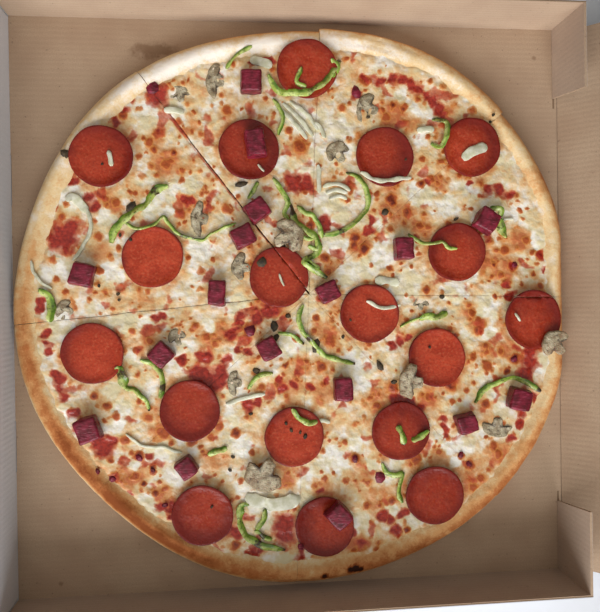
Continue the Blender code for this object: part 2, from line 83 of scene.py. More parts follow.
# Half the gap of each cut in the solids, in turning order from the one at the right, and what stays open here
CUT_HALF_GAPS = (0.25, 0.2, 0.25, 0.65, 0.25, 0.2, 0.2, 0.2)
CUT_CLOSED_TO = (0.1, 0.06, 0.1, 0.52, 0.16, 0.06, 0.06, 0.06)

# Places whose finish differs, as pixels with a radius in pixels
SAUCE_SPOTS = (
    (157, 96, 11), (63, 237, 15), (72, 229, 10), (293, 182, 11), (306, 184, 9), (41, 302, 5), (41, 308, 5),
    (530, 352, 9), (531, 363, 10), (526, 374, 10), (535, 344, 6), (522, 405, 5), (522, 414, 5),
    (520, 423, 5), (393, 79, 6), (402, 80, 6), (412, 84, 7), (419, 89, 6), (427, 95, 6), (433, 101, 6),
    (438, 109, 7), (443, 117, 5), (381, 79, 5), (356, 93, 7), (364, 79, 5), (262, 56, 8), (254, 60, 5),
    (270, 62, 5), (284, 525, 12), (287, 536, 10), (236, 532, 7), (255, 552, 5), (262, 550, 4),
    (248, 555, 4), (104, 450, 10), (99, 444, 8), (110, 440, 6), (73, 413, 6), (58, 378, 6), (59, 388, 6),
    (64, 398, 5), (46, 333, 4), (46, 342, 4), (48, 352, 4), (74, 181, 6), (88, 198, 5), (93, 207, 5),
    (162, 316, 5), (156, 318, 4), (130, 97, 5), (123, 110, 5), (116, 122, 5), (203, 378, 14),
    (216, 382, 11), (222, 372, 9), (196, 372, 9), (205, 357, 8), (226, 359, 6), (232, 333, 7),
    (237, 322, 6), (241, 314, 5), (247, 405, 7), (257, 402, 6), (238, 350, 5), (248, 352, 5), (269, 312, 9),
    (257, 319, 8), (280, 380, 5), (281, 389, 5), (293, 385, 5), (308, 388, 5), (327, 381, 6), (325, 221, 7),
    (324, 229, 5), (372, 219, 5), (373, 227, 5), (366, 231, 5), (392, 345, 5), (400, 341, 5), (408, 338, 4),
    (397, 401, 9), (409, 403, 8), (420, 407, 6), (445, 428, 5), (446, 436, 5), (444, 420, 4), (409, 405, 6),
    (513, 267, 4), (540, 255, 5), (507, 283, 5), (545, 270, 5), (534, 396, 5), (511, 438, 4), (185, 200, 5),
    (192, 201, 5), (150, 455, 4), (182, 361, 5), (397, 530, 6), (402, 514, 6), (391, 520, 4), (383, 517, 6),
    (170, 508, 6), (161, 506, 6), (172, 517, 5), (360, 543, 5), (354, 531, 5), (348, 537, 6), (300, 558, 5),
    (300, 552, 4), (321, 492, 4), (510, 297, 5), (500, 190, 6), (511, 196, 5), (489, 190, 5), (427, 181, 4),
    (470, 184, 4), (226, 532, 5), (230, 527, 5),
)
BAKED_SPOTS = (
    (479, 326, 12), (486, 350, 14), (470, 313, 12), (455, 385, 12), (484, 184, 10), (101, 255, 12),
    (360, 543, 10), (500, 451, 14), (474, 483, 14), (447, 112, 12), (110, 203, 12), (228, 330, 16),
    (398, 210, 18), (355, 245, 14), (500, 262, 22), (520, 240, 14), (300, 146, 12), (187, 200, 12),
    (212, 341, 16), (265, 312, 16), (300, 365, 12), (325, 335, 14), (290, 385, 18), (320, 392, 14),
    (148, 412, 12), (155, 430, 12), (212, 460, 14), (165, 165, 14), (150, 145, 12), (186, 125, 12),
    (395, 115, 14), (410, 125, 12), (438, 180, 12), (362, 470, 16), (375, 500, 16), (440, 455, 12),
    (430, 398, 12), (505, 350, 10), (455, 345, 10), (325, 490, 12), (290, 480, 10), (135, 475, 14),
    (160, 495, 12), (145, 305, 12), (150, 335, 10), (330, 265, 10), (420, 230, 14), (378, 400, 14),
)
PALE_SPOTS = (
    (62, 325, 12), (54, 316, 9), (174, 110, 9), (183, 118, 7), (295, 115, 14), (340, 128, 12),
    (70, 197, 11), (106, 217, 8), (151, 207, 10), (166, 212, 7), (194, 233, 6), (112, 274, 10),
    (198, 245, 11), (175, 262, 8), (189, 186, 8), (170, 190, 8), (288, 345, 10), (209, 326, 6),
    (238, 304, 9), (230, 419, 7), (240, 446, 11), (262, 500, 14), (245, 485, 10), (329, 457, 13),
    (276, 566, 12), (290, 562, 9), (329, 200, 12), (342, 217, 8), (329, 244, 7), (344, 245, 7),
    (382, 257, 12), (370, 270, 11), (345, 275, 10), (410, 281, 12), (395, 290, 9), (486, 308, 12),
    (490, 333, 6), (545, 362, 11), (491, 394, 6), (502, 412, 9), (464, 446, 9), (176, 478, 9),
    (145, 509, 12), (134, 466, 6), (152, 453, 7), (361, 523, 8), (348, 515, 7), (390, 510, 6),
    (414, 519, 8), (397, 461, 7), (448, 448, 7), (456, 462, 6), (425, 545, 12), (440, 535, 10),
    (455, 290, 12), (470, 275, 9), (492, 205, 8), (505, 215, 6), (541, 240, 10), (548, 250, 8),
    (120, 320, 10), (130, 357, 7), (174, 367, 7), (112, 390, 8), (120, 408, 8), (118, 425, 7), (60, 270, 9),
    (46, 275, 7), (55, 250, 5), (180, 435, 8), (165, 452, 9), (320, 120, 9), (330, 80, 8), (400, 95, 5),
    (415, 110, 5), (350, 150, 8), (355, 170, 7), (420, 195, 12), (450, 205, 10), (372, 465, 6),
    (305, 500, 8), (350, 360, 6), (362, 372, 7), (365, 385, 6), (345, 395, 5), (500, 160, 6), (355, 445, 8),
    (340, 465, 8), (315, 150, 7), (280, 165, 7),
)
# Toasted blisters that stand out, as pixels with a radius in pixels and how dark the middle is
BLISTERS = (
    (227, 110, 6, 0.75), (194, 112, 3, 0.8), (179, 122, 5, 0.6), (192, 131, 3, 0.7), (201, 134, 4, 0.6),
    (166, 164, 6, 0.75), (182, 170, 4, 0.7), (174, 153, 4, 0.95), (188, 201, 6, 0.8), (300, 146, 8, 0.8),
    (289, 130, 5, 0.8), (212, 208, 4, 0.6), (205, 218, 3, 0.9), (226, 209, 5, 0.7), (364, 80, 7, 0.85),
    (342, 108, 5, 0.7), (383, 110, 3, 0.8), (393, 105, 4, 0.95), (403, 109, 4, 0.85), (386, 117, 6, 0.7),
    (405, 122, 4, 0.7), (418, 99, 4, 0.8), (430, 81, 4, 0.6), (443, 87, 5, 0.45), (446, 113, 4, 0.85),
    (472, 111, 6, 0.55), (431, 179, 5, 0.75), (421, 184, 5, 1.0), (391, 199, 7, 0.95), (350, 186, 6, 0.65),
    (377, 194, 4, 0.8), (438, 183, 4, 0.55), (348, 201, 3, 0.8), (132, 332, 4, 0.7), (150, 341, 5, 0.65),
    (136, 351, 4, 0.75), (94, 396, 5, 0.85), (107, 406, 5, 0.8), (139, 401, 4, 0.8), (116, 416, 5, 0.75),
    (148, 418, 6, 0.6), (161, 432, 6, 0.75), (124, 441, 5, 0.7), (182, 361, 5, 0.85), (486, 346, 4, 0.8),
    (487, 352, 4, 0.8), (473, 357, 5, 0.75), (488, 366, 7, 0.75), (451, 385, 7, 0.95), (467, 391, 4, 0.75),
    (453, 402, 4, 0.75), (460, 400, 3, 0.8), (486, 404, 6, 0.85), (377, 406, 5, 0.85), (393, 388, 7, 0.85),
    (429, 397, 5, 0.7), (416, 460, 6, 0.85), (498, 454, 6, 0.65), (99, 237, 5, 0.65), (53, 260, 5, 0.6),
    (56, 279, 4, 0.75), (65, 292, 4, 0.75), (100, 271, 4, 0.8), (105, 292, 4, 0.6), (236, 545, 5, 0.85),
    (513, 267, 6, 1.0), (540, 255, 6, 0.8), (507, 283, 6, 0.85), (501, 275, 4, 0.75), (540, 286, 4, 0.8),
    (533, 274, 3, 0.9), (505, 250, 6, 0.75), (526, 240, 5, 0.75), (495, 297, 3, 0.9), (491, 241, 5, 0.5),
    (557, 299, 4, 0.5), (494, 265, 3, 0.95), (156, 135, 4, 0.8), (149, 142, 5, 0.75), (154, 150, 4, 0.9),
    (116, 106, 4, 0.45), (130, 97, 5, 0.45), (123, 116, 5, 0.85), (151, 166, 5, 0.5), (249, 329, 7, 1.0),
    (207, 338, 5, 0.65), (215, 344, 5, 0.65), (247, 337, 5, 0.9), (279, 384, 6, 0.9), (309, 387, 4, 0.95),
    (300, 361, 4, 0.65), (302, 369, 3, 0.55), (285, 366, 3, 0.9), (316, 318, 4, 0.85), (332, 320, 4, 0.5),
    (314, 331, 4, 0.7), (330, 341, 7, 0.75), (296, 338, 5, 0.65), (288, 316, 3, 1.0), (236, 433, 6, 0.9),
    (211, 437, 4, 0.65), (219, 427, 5, 0.75), (195, 326, 4, 0.8), (322, 367, 6, 0.85), (261, 387, 5, 0.65),
    (252, 453, 4, 0.8), (241, 481, 4, 0.6), (325, 479, 4, 0.75), (286, 486, 3, 0.6), (237, 498, 3, 0.7),
    (203, 452, 3, 0.8), (323, 451, 4, 0.55), (315, 486, 4, 0.55), (355, 238, 6, 0.95), (354, 245, 5, 0.95),
    (364, 249, 6, 1.0), (325, 258, 6, 0.85), (347, 200, 3, 0.8), (351, 192, 4, 0.6), (389, 198, 4, 0.9),
    (393, 203, 5, 0.95), (407, 213, 6, 0.85), (420, 226, 5, 0.8), (390, 268, 4, 0.85), (371, 265, 3, 0.55),
    (391, 229, 5, 0.6), (427, 290, 5, 0.85), (328, 272, 4, 0.8), (377, 233, 4, 0.4), (472, 313, 5, 0.75),
    (469, 305, 4, 0.7), (479, 322, 6, 0.85), (478, 330, 6, 0.85), (501, 351, 5, 0.65), (474, 383, 3, 0.6),
    (515, 359, 7, 1.0), (507, 371, 4, 1.0), (494, 446, 6, 0.75), (139, 456, 6, 0.9), (153, 467, 4, 0.95),
    (153, 472, 4, 0.9), (98, 471, 5, 0.8), (114, 478, 7, 0.95), (144, 484, 3, 1.0), (156, 494, 4, 0.9),
    (165, 489, 5, 0.7), (135, 506, 4, 0.85), (111, 460, 4, 0.85), (131, 453, 3, 0.7), (158, 521, 3, 0.8),
    (160, 529, 3, 0.65), (136, 476, 5, 0.8), (126, 440, 5, 0.8), (165, 435, 6, 0.7), (192, 442, 6, 0.85),
    (355, 458, 6, 0.95), (345, 481, 4, 0.65), (368, 482, 5, 0.6), (367, 506, 4, 0.75), (392, 501, 5, 0.85),
    (391, 520, 4, 0.85), (397, 532, 6, 0.95), (407, 530, 4, 0.95), (361, 543, 6, 0.8), (354, 550, 4, 0.7),
    (376, 549, 4, 0.65), (371, 523, 3, 0.8), (418, 459, 5, 0.8), (439, 452, 4, 0.7), (461, 456, 4, 1.0),
    (470, 465, 6, 1.0), (473, 487, 6, 0.65), (481, 478, 6, 0.65), (182, 180, 4, 0.7), (202, 194, 4, 0.65),
    (116, 203, 5, 0.7), (106, 199, 4, 0.8), (98, 236, 5, 0.6), (66, 204, 4, 0.6), (130, 192, 3, 0.8),
    (62, 217, 4, 0.85), (182, 214, 5, 0.95), (201, 271, 5, 0.55), (66, 250, 3, 0.8), (71, 253, 3, 0.8),
    (97, 269, 5, 0.6), (188, 258, 3, 0.8), (139, 156, 4, 0.6), (142, 176, 5, 0.4), (311, 225, 5, 0.9),
)
# Smaller blisters drawn at random over the cheese, and the seeds of what is drawn
SMALL_BLISTERS = 2600
CHEESE_REACH = 158
BLISTER_SEED = 11
CRUMB_SEED = 7


def from_photo(pixel, height):
    """The place at a height above the table that shows at a pixel of the photograph."""
    aim = Vector((pixel[0] - PHOTO_CENTRE[0], PHOTO_CENTRE[1] - pixel[1], -VIEW_FOCAL))
    ray = VIEW_TURN.to_matrix() @ aim
    return VIEW_POINT + ray * ((height - VIEW_POINT.z) / ray.z)


def on_cheese(pixel):
    """The place on top of the cheese that shows at a pixel, in the plane."""
    return from_photo(pixel, FOOD_FLOOR + CHEESE_FIELD + 1.0).to_2d()


def colour(code):
    """Linear colour of a six-digit sRGB hex code; a colour from a node passes through."""
    if not isinstance(code, str):
        return code
    values = [int(code[i:i + 2], 16) / 255 for i in (0, 2, 4)]
    linear = [v / 12.92 if v <= 0.04045 else ((v + 0.055) / 1.055) ** 2.4 for v in values]
    return (*linear, 1.0)


def grain(x, y, size, seed=0.0):
    """Smooth noise between about -1 and 1 whose lumps are a size in millimetres across."""
    return noise.noise(Vector((x / size, y / size, seed)))


def smooth_step(value, low, high):
    """0 before low, 1 past high and a soft step between them."""
    t = min(max((value - low) / (high - low), 0.0), 1.0)
    return t * t * (3 - 2 * t)


def between(points, at):
    """Height of a broken line given as (place, height) points in rising order of place."""
    if at <= points[0][0]:
        return points[0][1]
    for (near, low), (far, high) in zip(points, points[1:]):
        if at <= far:
            return low + (high - low) * (at - near) / (far - near)
    return points[-1][1]


# Node trees

def put(tree, kind, inputs=None, **settings):
    """Add a node and give its outputs; an input takes a value or another node's output."""
    added = tree.nodes.new(kind if "Node" in kind else "ShaderNode" + kind)
    for name, value in settings.items():
        setattr(added, name, value)
    for name, value in (inputs or {}).items():
        if isinstance(value, bpy.types.NodeSocket):
            tree.links.new(value, added.inputs[name])
        else:
            added.inputs[name].default_value = value
    return added.outputs


def new_material(name, noises=(), reads=(), **shader_values):
    """A material with a Principled shader, its tree, its coordinates in metres and its fields.

    The fields are smooth noises, each given as the width of its lumps in millimetres, its detail and
    its roughness, and then the attributes of the mesh that the material reads.
    """
    material = bpy.data.materials.new(name)
    material.use_nodes = True
    tree = material.node_tree
    for socket, value in shader_values.items():
        tree.nodes["Principled BSDF"].inputs[socket.replace("_", " ")].default_value = value
    at = put(tree, "TexCoord")["Object"]
    fields = [put(tree, "TexNoise", {"Vector": at, "Scale": 1 / (size * MM), "Detail": detail,
                                     "Roughness": rough})["Fac"] for size, detail, rough in noises]
    fields += [put(tree, "Attribute", attribute_name=read)["Fac"] for read in reads]
    return material, tree, at, fields


def layers(tree, tone, *coats):
    """Colours laid over each other: each coat's field, where it starts and is full, its most and colour."""
    tone = colour(tone)
    for field, low, high, most, code in coats:
        share = put(tree, "MapRange", {"Value": field, "From Min": low, "From Max": high, "To Max": most},
                    interpolation_type="SMOOTHSTEP")["Result"]
        tone = put(tree, "Mix", {0: share, 6: tone, 7: colour(code)}, data_type="RGBA")[2]
    return tone


def uneven(tree, field, *noises):
    """A field that noises push up and down, each by half the amount given with it."""
    for pushing, amount in noises:
        pushed = put(tree, "Math", {0: pushing, 1: amount, 2: field}, operation="MULTIPLY_ADD")["Value"]
        field = put(tree, "Math", {0: pushed, 1: amount / 2}, operation="SUBTRACT")["Value"]
    return field


def finished(material, tone, relief=0.0, *fields, **linked):
    """The material with its colour, and a relief in millimetres from fields that each count for a share."""
    tree = material.node_tree
    sockets = {"Base Color": tone, **linked}
    if fields:
        height = 0.0
        for field, share in fields:
            height = put(tree, "Math", {0: field, 1: share, 2: height}, operation="MULTIPLY_ADD")["Value"]
        raised = put(tree, "Bump", {"Height": height, "Distance": relief * MM, "Strength": 1.0})
        sockets["Normal"] = raised["Normal"]
    for socket, value in sockets.items():
        tree.links.new(value, tree.nodes["Principled BSDF"].inputs[socket])
    return material


# Materials

def within(tree, axes, boxes):
    """1 inside any of several boxes, each given as ranges in millimetres along some of the axes."""
    mask = 0.0
    for box in boxes:
        inside = 1.0
        for axis, low, high in box:
            middle, half = (low + high) / 2 * MM, (high - low) / 2 * MM
            span = put(tree, "Math", {0: axes[axis], 1: middle, 2: half}, operation="COMPARE")["Value"]
            inside = put(tree, "Math", {0: span, 1: inside}, operation="MULTIPLY")["Value"]
        mask = put(tree, "Math", {0: inside, 1: mask}, operation="MAXIMUM")["Value"]
    return mask


def corrugated_board(name, home, white_where, hollow_shade_where, stains):
    """Brown kraft liner inside, bleached liner outside: short fibres, dust and faint ribs of the flutes."""
    material, tree, at, (fibres, clouds, dust, ragged) = new_material(
        name, ((0.8, 4.0, 0.7), (30.0, 4.0, 0.5), (2.2, 1.0, 0.5), (4.0, 3.0, 0.5)),
        Roughness=0.85, Sheen_Weight=0.4, Specular_IOR_Level=0.2)
    own = put(tree, "Mapping", {"Vector": at, "Location": home.translation * MM, "Rotation": home.to_euler()},
              vector_type="TEXTURE")["Vector"]
    split = put(tree, "SeparateXYZ", {"Vector": own})
    # The ribs run along X: they are counted by Y on level faces and by height on those that face along Y
    facing = put(tree, "SeparateXYZ", {"Vector": put(tree, "TexCoord")["Normal"]})["Y"]
    facing = put(tree, "Math", {0: facing}, operation="ABSOLUTE")["Value"]
    upright = put(tree, "Math", {0: facing, 1: 0.5}, operation="GREATER_THAN")["Value"]
    across = put(tree, "Mix", {0: upright, 2: split["Y"], 3: split["Z"]}, data_type="FLOAT")[0]
    turn = put(tree, "Math", {0: across, 1: 2 * math.pi / (FLUTE_PITCH * MM)}, operation="MULTIPLY")["Value"]
    rib = put(tree, "Math", {0: turn}, operation="SINE")["Value"]
    tone = layers(tree, "AD9177", (clouds, 0.3, 0.7, 1.0, "BAA085"), (fibres, 0.35, 0.75, 0.6, "9B8067"),
                  (rib, -1.0, 1.0, 0.14, "9F856C"), (dust, 0.74, 0.78, 0.5, "6A5340"))
    for x, y, long, wide, strength in stains:
        middle, reach = Vector((x, y, BOARD)) * MM, Vector((long, wide, STAIN_DEPTH)) * MM
        near = put(tree, "Mapping", {"Vector": at, "Location": middle, "Scale": reach}, vector_type="TEXTURE")
        away = put(tree, "VectorMath", {0: near["Vector"]}, operation="LENGTH")["Value"]
        away = put(tree, "Math", {0: ragged, 1: 1.2, 2: away}, operation="MULTIPLY_ADD")["Value"]
        tone = layers(tree, tone, (away, 1.6, 0.9, strength, "7A5C42"))
    white = layers(tree, "CED1D8", (fibres, 0.3, 0.8, 1.0, "C0C3CA"))
    # Bleached liner, then cut board painted dark as the shade in the hollows between the flutes
    tone = layers(tree, tone, (within(tree, split, white_where), 0.0, 1.0, 1.0, white),
                  (within(tree, split, hollow_shade_where), 0.0, 1.0, 1.0, "7E654C"))
    return finished(material, tone, 0.1, (rib, 0.2), (fibres, 0.6))


def flute_paper():
    """Paper of the flutes and liners where the board is cut through: brown and fuzzy."""
    material, tree, _, (fibres,) = new_material("flute_paper", ((1.0, 3.0, 0.5),), Roughness=0.9)
    return finished(material, layers(tree, "A58A6E", (fibres, 0.3, 0.7, 1.0, "C4AA8C")))


def baked_dough():
    """Wheat crust baked on a pan: floury cream skin that turns golden brown where it stands up; the attribute
    it reads also holds painted light and shade of the rim.
    """
    material, tree, _, (patches, pores, toast_and_light) = new_material(
        "baked_dough", ((6.0, 4.0, 0.6), (1.3, 3.0, 0.7)), ("toast_and_light",),
        Roughness=0.72, Specular_IOR_Level=0.2, Subsurface_Weight=0.05, Subsurface_Radius=FOOD_GLOW)
    heat_and_light = uneven(tree, toast_and_light, (patches, 0.85), (pores, 0.45))
    tone = layers(tree, "F4EADC", (heat_and_light, -0.3, 0.15, 1.0, "E8CA98"), (heat_and_light, 0.1, 0.45, 1.0, "DBA268"),
                  (heat_and_light, 0.4, 0.75, 1.0, "BC7440"), (heat_and_light, 0.7, 1.05, 1.0, "914C20"),
                  (heat_and_light, 1.2, 1.7, 1.0, "35170D"))
    return finished(material, tone, 0.45, (pores, 0.6), (patches, 1.0))


def baked_cheese():
    """Mozzarella baked over tomato sauce: creamy pools, orange oil between them and toasted blisters."""
    material, tree, _, (pools, clouds, flecks, sauce, warm, browned) = new_material(
        "baked_cheese", ((8.0, 2.0, 0.5), (4.5, 2.0, 0.5), (1.8, 2.0, 0.5)), ("sauce", "warm", "browned"),
        Specular_IOR_Level=0.36, Subsurface_Weight=0.06, Subsurface_Radius=FOOD_GLOW)
    # Warmth between the pools first yellows the cheese and then lets the orange oil through
    warmth = uneven(tree, warm, (clouds, 1.0), (flecks, 0.35))
    # At the foot of the cuts the warm and browned attributes hold painted shade; elsewhere browned is the
    # toasted blisters
    blister = put(tree, "MapRange", {"Value": browned, "From Min": 0.02, "From Max": 0.15},
                  interpolation_type="SMOOTHSTEP")["Result"]
    toasted = uneven(tree, browned, (flecks, 0.35))
    toasted = put(tree, "Math", {0: toasted, 1: blister}, operation="MULTIPLY")["Value"]
    depth = uneven(tree, sauce, (clouds, 0.9))
    red = layers(tree, "84160F", (flecks, 0.3, 0.7, 1.0, "AC2C1C"))
    tone = layers(tree, "DFD1AA", (pools, 0.38, 0.62, 1.0, "F2ECE0"), (clouds, 0.45, 0.62, 0.35, "DCC892"),
                  (warmth, 0.15, 0.65, 0.75, "E2B87C"), (warmth, 0.5, 0.95, 0.8, "D08748"),
                  (warmth, 0.85, 1.25, 0.75, "BC5A2C"), (toasted, 0.08, 0.32, 0.85, "CE803A"),
                  (toasted, 0.3, 0.6, 1.0, "AC501F"), (toasted, 0.66, 1.0, 1.0, "6A2012"),
                  (depth, 0.12, 0.5, 0.8, "C2562F"), (depth, 0.42, 0.85, 0.95, red))
    gloss = put(tree, "MapRange", {"Value": depth, "From Min": 0.2, "From Max": 0.7, "To Min": 0.42,
                                   "To Max": 0.28})["Result"]
    return finished(material, tone, 0.9, (flecks, 0.15), (clouds, 1.0), Roughness=gloss)


def cured_sausage():
    """Sliced pepperoni: fine red meat flecked with fat, oiled by the oven and darker at its curled edge; one
    side of each slice is darker as painted shade.
    """
    material, tree, _, (clouds, fat, grains, oil, ring, cure_and_shade) = new_material(
        "cured_sausage", ((8.0, 3.0, 0.5), (1.5, 2.0, 0.5), (0.6, 2.0, 0.5), (5.0, 2.0, 0.5)),
        ("ring", "cure_and_shade"), Specular_IOR_Level=0.25, Subsurface_Weight=0.05)
    curled = put(tree, "MapRange", {"Value": ring, "From Min": 0.62, "From Max": 1.0, "To Max": 0.3},
                 interpolation_type="SMOOTHSTEP")["Result"]
    dark = put(tree, "Math", {0: uneven(tree, cure_and_shade, (clouds, 0.8)), 1: curled}, operation="ADD")["Value"]
    edge = put(tree, "Math", {0: clouds, 1: 0.2, 2: ring}, operation="MULTIPLY_ADD")["Value"]
    tone = layers(tree, "A93319", (clouds, 0.3, 0.7, 1.0, "C24628"), (fat, 0.54, 0.68, 0.4, "CC6C4A"),
                  (fat, 0.44, 0.34, 0.4, "802414"), (grains, 0.55, 0.75, 0.12, "D07C58"),
                  (dark, 0.0, 0.9, 0.9, "6C140C"), (edge, 1.02, 1.1, 0.7, "651414"))
    gloss = put(tree, "MapRange", {"Value": oil, "From Min": 0.4, "From Max": 0.65, "To Min": 0.24,
                                   "To Max": 0.45})["Result"]
    return finished(material, tone, 0.35, (fat, 0.5), (clouds, 2.5), Roughness=gloss)


def cured_beef():
    """Diced cured meat: deep beet red with a moist sheen, paler where the knife crossed its fibres."""
    material, tree, at, (clouds,) = new_material(
        "cured_beef", ((4.0, 3.0, 0.5),), Roughness=0.34, Specular_IOR_Level=0.35, Subsurface_Weight=0.04)
    drawn_out = put(tree, "Mapping", {"Vector": at, "Scale": (0.3, 1.0, 1.0)})["Vector"]
    fibres = put(tree, "TexNoise", {"Vector": drawn_out, "Scale": 1 / (1.0 * MM), "Detail": 3.0})["Fac"]
    tone = layers(tree, "540D17", (clouds, 0.3, 0.75, 1.0, "881F35"), (fibres, 0.52, 0.7, 0.35, "B44E66"))
    return finished(material, tone, 0.35, (fibres, 1.0))


def cooked_mushroom():
    """Sliced button mushroom after the oven: beige flesh, browned skin round the cap, dark gills."""
    material, tree, _, (clouds, fine, bruises, rim, gills) = new_material(
        "cooked_mushroom", ((4.0, 3.0, 0.5), (0.9, 2.0, 0.5), (2.6, 2.0, 0.5)), ("rim", "gills"),
        Roughness=0.5, Subsurface_Weight=0.08)
    skin = put(tree, "Math", {0: clouds, 1: 0.3, 2: rim}, operation="MULTIPLY_ADD")["Value"]
    tone = layers(tree, "8A7558", (clouds, 0.3, 0.7, 1.0, "C9BA9C"), (bruises, 0.55, 0.68, 0.7, "453526"),
                  (skin, 0.85, 1.1, 0.55, "85704F"))
    shade = put(tree, "Math", {0: gills, 1: 0.9}, operation="MULTIPLY")["Value"]
    tone = put(tree, "Mix", {0: shade, 6: tone, 7: colour("3C2D20")}, data_type="RGBA")[2]
    return finished(material, tone, 0.6, (fine, 1.0), (clouds, 1.0))


def green_pepper():
    """Sweet pepper strips: glossy green skin on one side and pale watery flesh on the other."""
    material, tree, _, (clouds, fine, skin, charred) = new_material(
        "green_pepper", ((5.0, 2.0, 0.5), (1.6, 2.0, 0.5)), ("skin", "charred"),
        Roughness=0.28, Subsurface_Weight=0.06)
    flesh = layers(tree, "A4B450", (clouds, 0.35, 0.65, 1.0, "CCD686"))
    green = layers(tree, "567820", (clouds, 0.35, 0.65, 1.0, "8CA63A"))
    burnt = uneven(tree, charred, (fine, 0.8))
    tone = layers(tree, flesh, (skin, 0.3, 0.7, 1.0, green), (fine, 0.52, 0.68, 0.6, "435A1A"),
                  (burnt, 0.3, 0.75, 1.0, "3A2A18"))
    return finished(material, tone, 0.5, (fine, 0.4), (clouds, 1.0))


def baked_onion():
    """Onion cut in arcs: translucent white layers with fine ribs."""
    material, tree, _, (clouds, skin) = new_material(
        "baked_onion", ((3.0, 2.0, 0.5),), ("skin",),
        Roughness=0.3, Subsurface_Weight=0.2, Subsurface_Radius=(0.004, 0.004, 0.003))
    tone = layers(tree, "DAD7C3", (clouds, 0.3, 0.7, 1.0, "C4C2A2"), (skin, 0.8, 1.0, 0.5, "C9BE93"))
    return finished(material, tone, 0.2, (clouds, 1.0))


def mottled(name, code, other, size):
    """Dried leaf or a painted table: one colour broken by a second one."""
    material, tree, _, (patches,) = new_material(name, ((size, 2.0, 0.5),), Roughness=0.7)
    return finished(material, layers(tree, code, (patches, 0.35, 0.65, 1.0, other)))


# Meshes

def piece(name, verts, faces, material, attributes=None, sharp=40):
    """A finished mesh in metres from places in millimetres, riding on the tray."""
    mesh = bpy.data.meshes.new(name)
    mesh.from_pydata([Vector(v) * MM for v in verts], [], faces)
    for key, values in (attributes or {}).items():
        layer = mesh.attributes.new(key, "FLOAT", "POINT")
        layer.data.foreach_set("value", values)
    welded = bmesh.new()
    welded.from_mesh(mesh)
    bmesh.ops.remove_doubles(welded, verts=welded.verts, dist=0.01 * MM)
    bmesh.ops.recalc_face_normals(welded, faces=welded.faces)
    welded.to_mesh(mesh)
    welded.free()
    mesh.shade_smooth()
    mesh.set_sharp_from_angle(angle=math.radians(sharp))
    mesh.materials.append(material)
    made = bpy.data.objects.new(name, mesh)
    bpy.context.scene.collection.objects.link(made)
    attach(made, "tray")
    return made


class Shape:
    """Points, faces and attributes that are gathered before they become one piece."""

    def __init__(self, *names):
        self.verts, self.faces = [], []
        self.values = {name: [] for name in names}

    def add(self, verts, faces, **values):
        start = len(self.verts)
        self.verts += [tuple(v) for v in verts]
        self.faces += [tuple(start + i for i in face) for face in faces]
        for name in self.values:
            self.values[name] += list(values.get(name, [0.0] * len(verts)))

    def finish(self, name, material, sharp=40):
        return piece(name, self.verts, self.faces, material, self.values, sharp)


def closed_rings(rows, count):
    """Quads between rings of count points each, and a face that closes either end."""
    faces = []
    for row in range(rows - 1):
        for i in range(count):
            j = (i + 1) % count
            low, high = row * count, (row + 1) * count
            faces.append((low + i, low + j, high + j, high + i))
    return [*faces, tuple(reversed(range(count))), tuple(range((rows - 1) * count, rows * count))]


# Cut edges of the board

def fluted_edge(paper):
    """Geometry Nodes of a cut edge along +X: a sine of paper between two straight liners, facing +Z."""
    tree = bpy.data.node_groups.new("fluted_edge", "GeometryNodeTree")
    for name in ("Length", "Pitch", "Wave", "Liner", "Paper", "Depth"):
        tree.interface.new_socket(name, in_out="INPUT", socket_type="NodeSocketFloat")
    tree.interface.new_socket("Geometry", in_out="OUTPUT", socket_type="NodeSocketGeometry")
    sizes = put(tree, "NodeGroupInput")
    far = put(tree, "CombineXYZ", {"X": sizes["Length"]})["Vector"]
    line = put(tree, "GeometryNodeCurvePrimitiveLine", {"End": far})["Curve"]
    step = put(tree, "Math", {0: sizes["Pitch"], 1: 10.0}, operation="DIVIDE")["Value"]
    fine = put(tree, "GeometryNodeResampleCurve", {"Curve": line, "Length": step}, mode="LENGTH")["Curve"]
    along = put(tree, "SeparateXYZ", {"Vector": put(tree, "GeometryNodeInputPosition")["Position"]})["X"]
    waves = put(tree, "Math", {0: along, 1: sizes["Pitch"]}, operation="DIVIDE")["Value"]
    turn = put(tree, "Math", {0: waves, 1: 2 * math.pi}, operation="MULTIPLY")["Value"]
    sine = put(tree, "Math", {0: turn}, operation="SINE")["Value"]
    swing = put(tree, "Math", {0: sine, 1: sizes["Wave"]}, operation="MULTIPLY")["Value"]
    opposite = put(tree, "Math", {0: sizes["Liner"], 1: -1.0}, operation="MULTIPLY")["Value"]
    section = put(tree, "GeometryNodeCurvePrimitiveQuadrilateral",
                  {"Width": sizes["Paper"], "Height": sizes["Depth"]})["Curve"]
    together = tree.nodes.new("GeometryNodeJoinGeometry")
    for path, aside in ((fine, swing), (line, sizes["Liner"]), (line, opposite)):
        offset = put(tree, "CombineXYZ", {"Y": aside})["Vector"]
        moved = put(tree, "GeometryNodeSetPosition", {"Geometry": path, "Offset": offset})["Geometry"]
        sheet = put(tree, "GeometryNodeCurveToMesh",
                    {"Curve": moved, "Profile Curve": section, "Fill Caps": True})
        tree.links.new(sheet["Mesh"], together.inputs["Geometry"])
    real = put(tree, "GeometryNodeRealizeInstances", {"Geometry": together.outputs["Geometry"]})["Geometry"]
    done = put(tree, "GeometryNodeSetMaterial", {"Geometry": real, "Material": paper})["Geometry"]
    put(tree, "NodeGroupOutput", {"Geometry": done})
    return tree


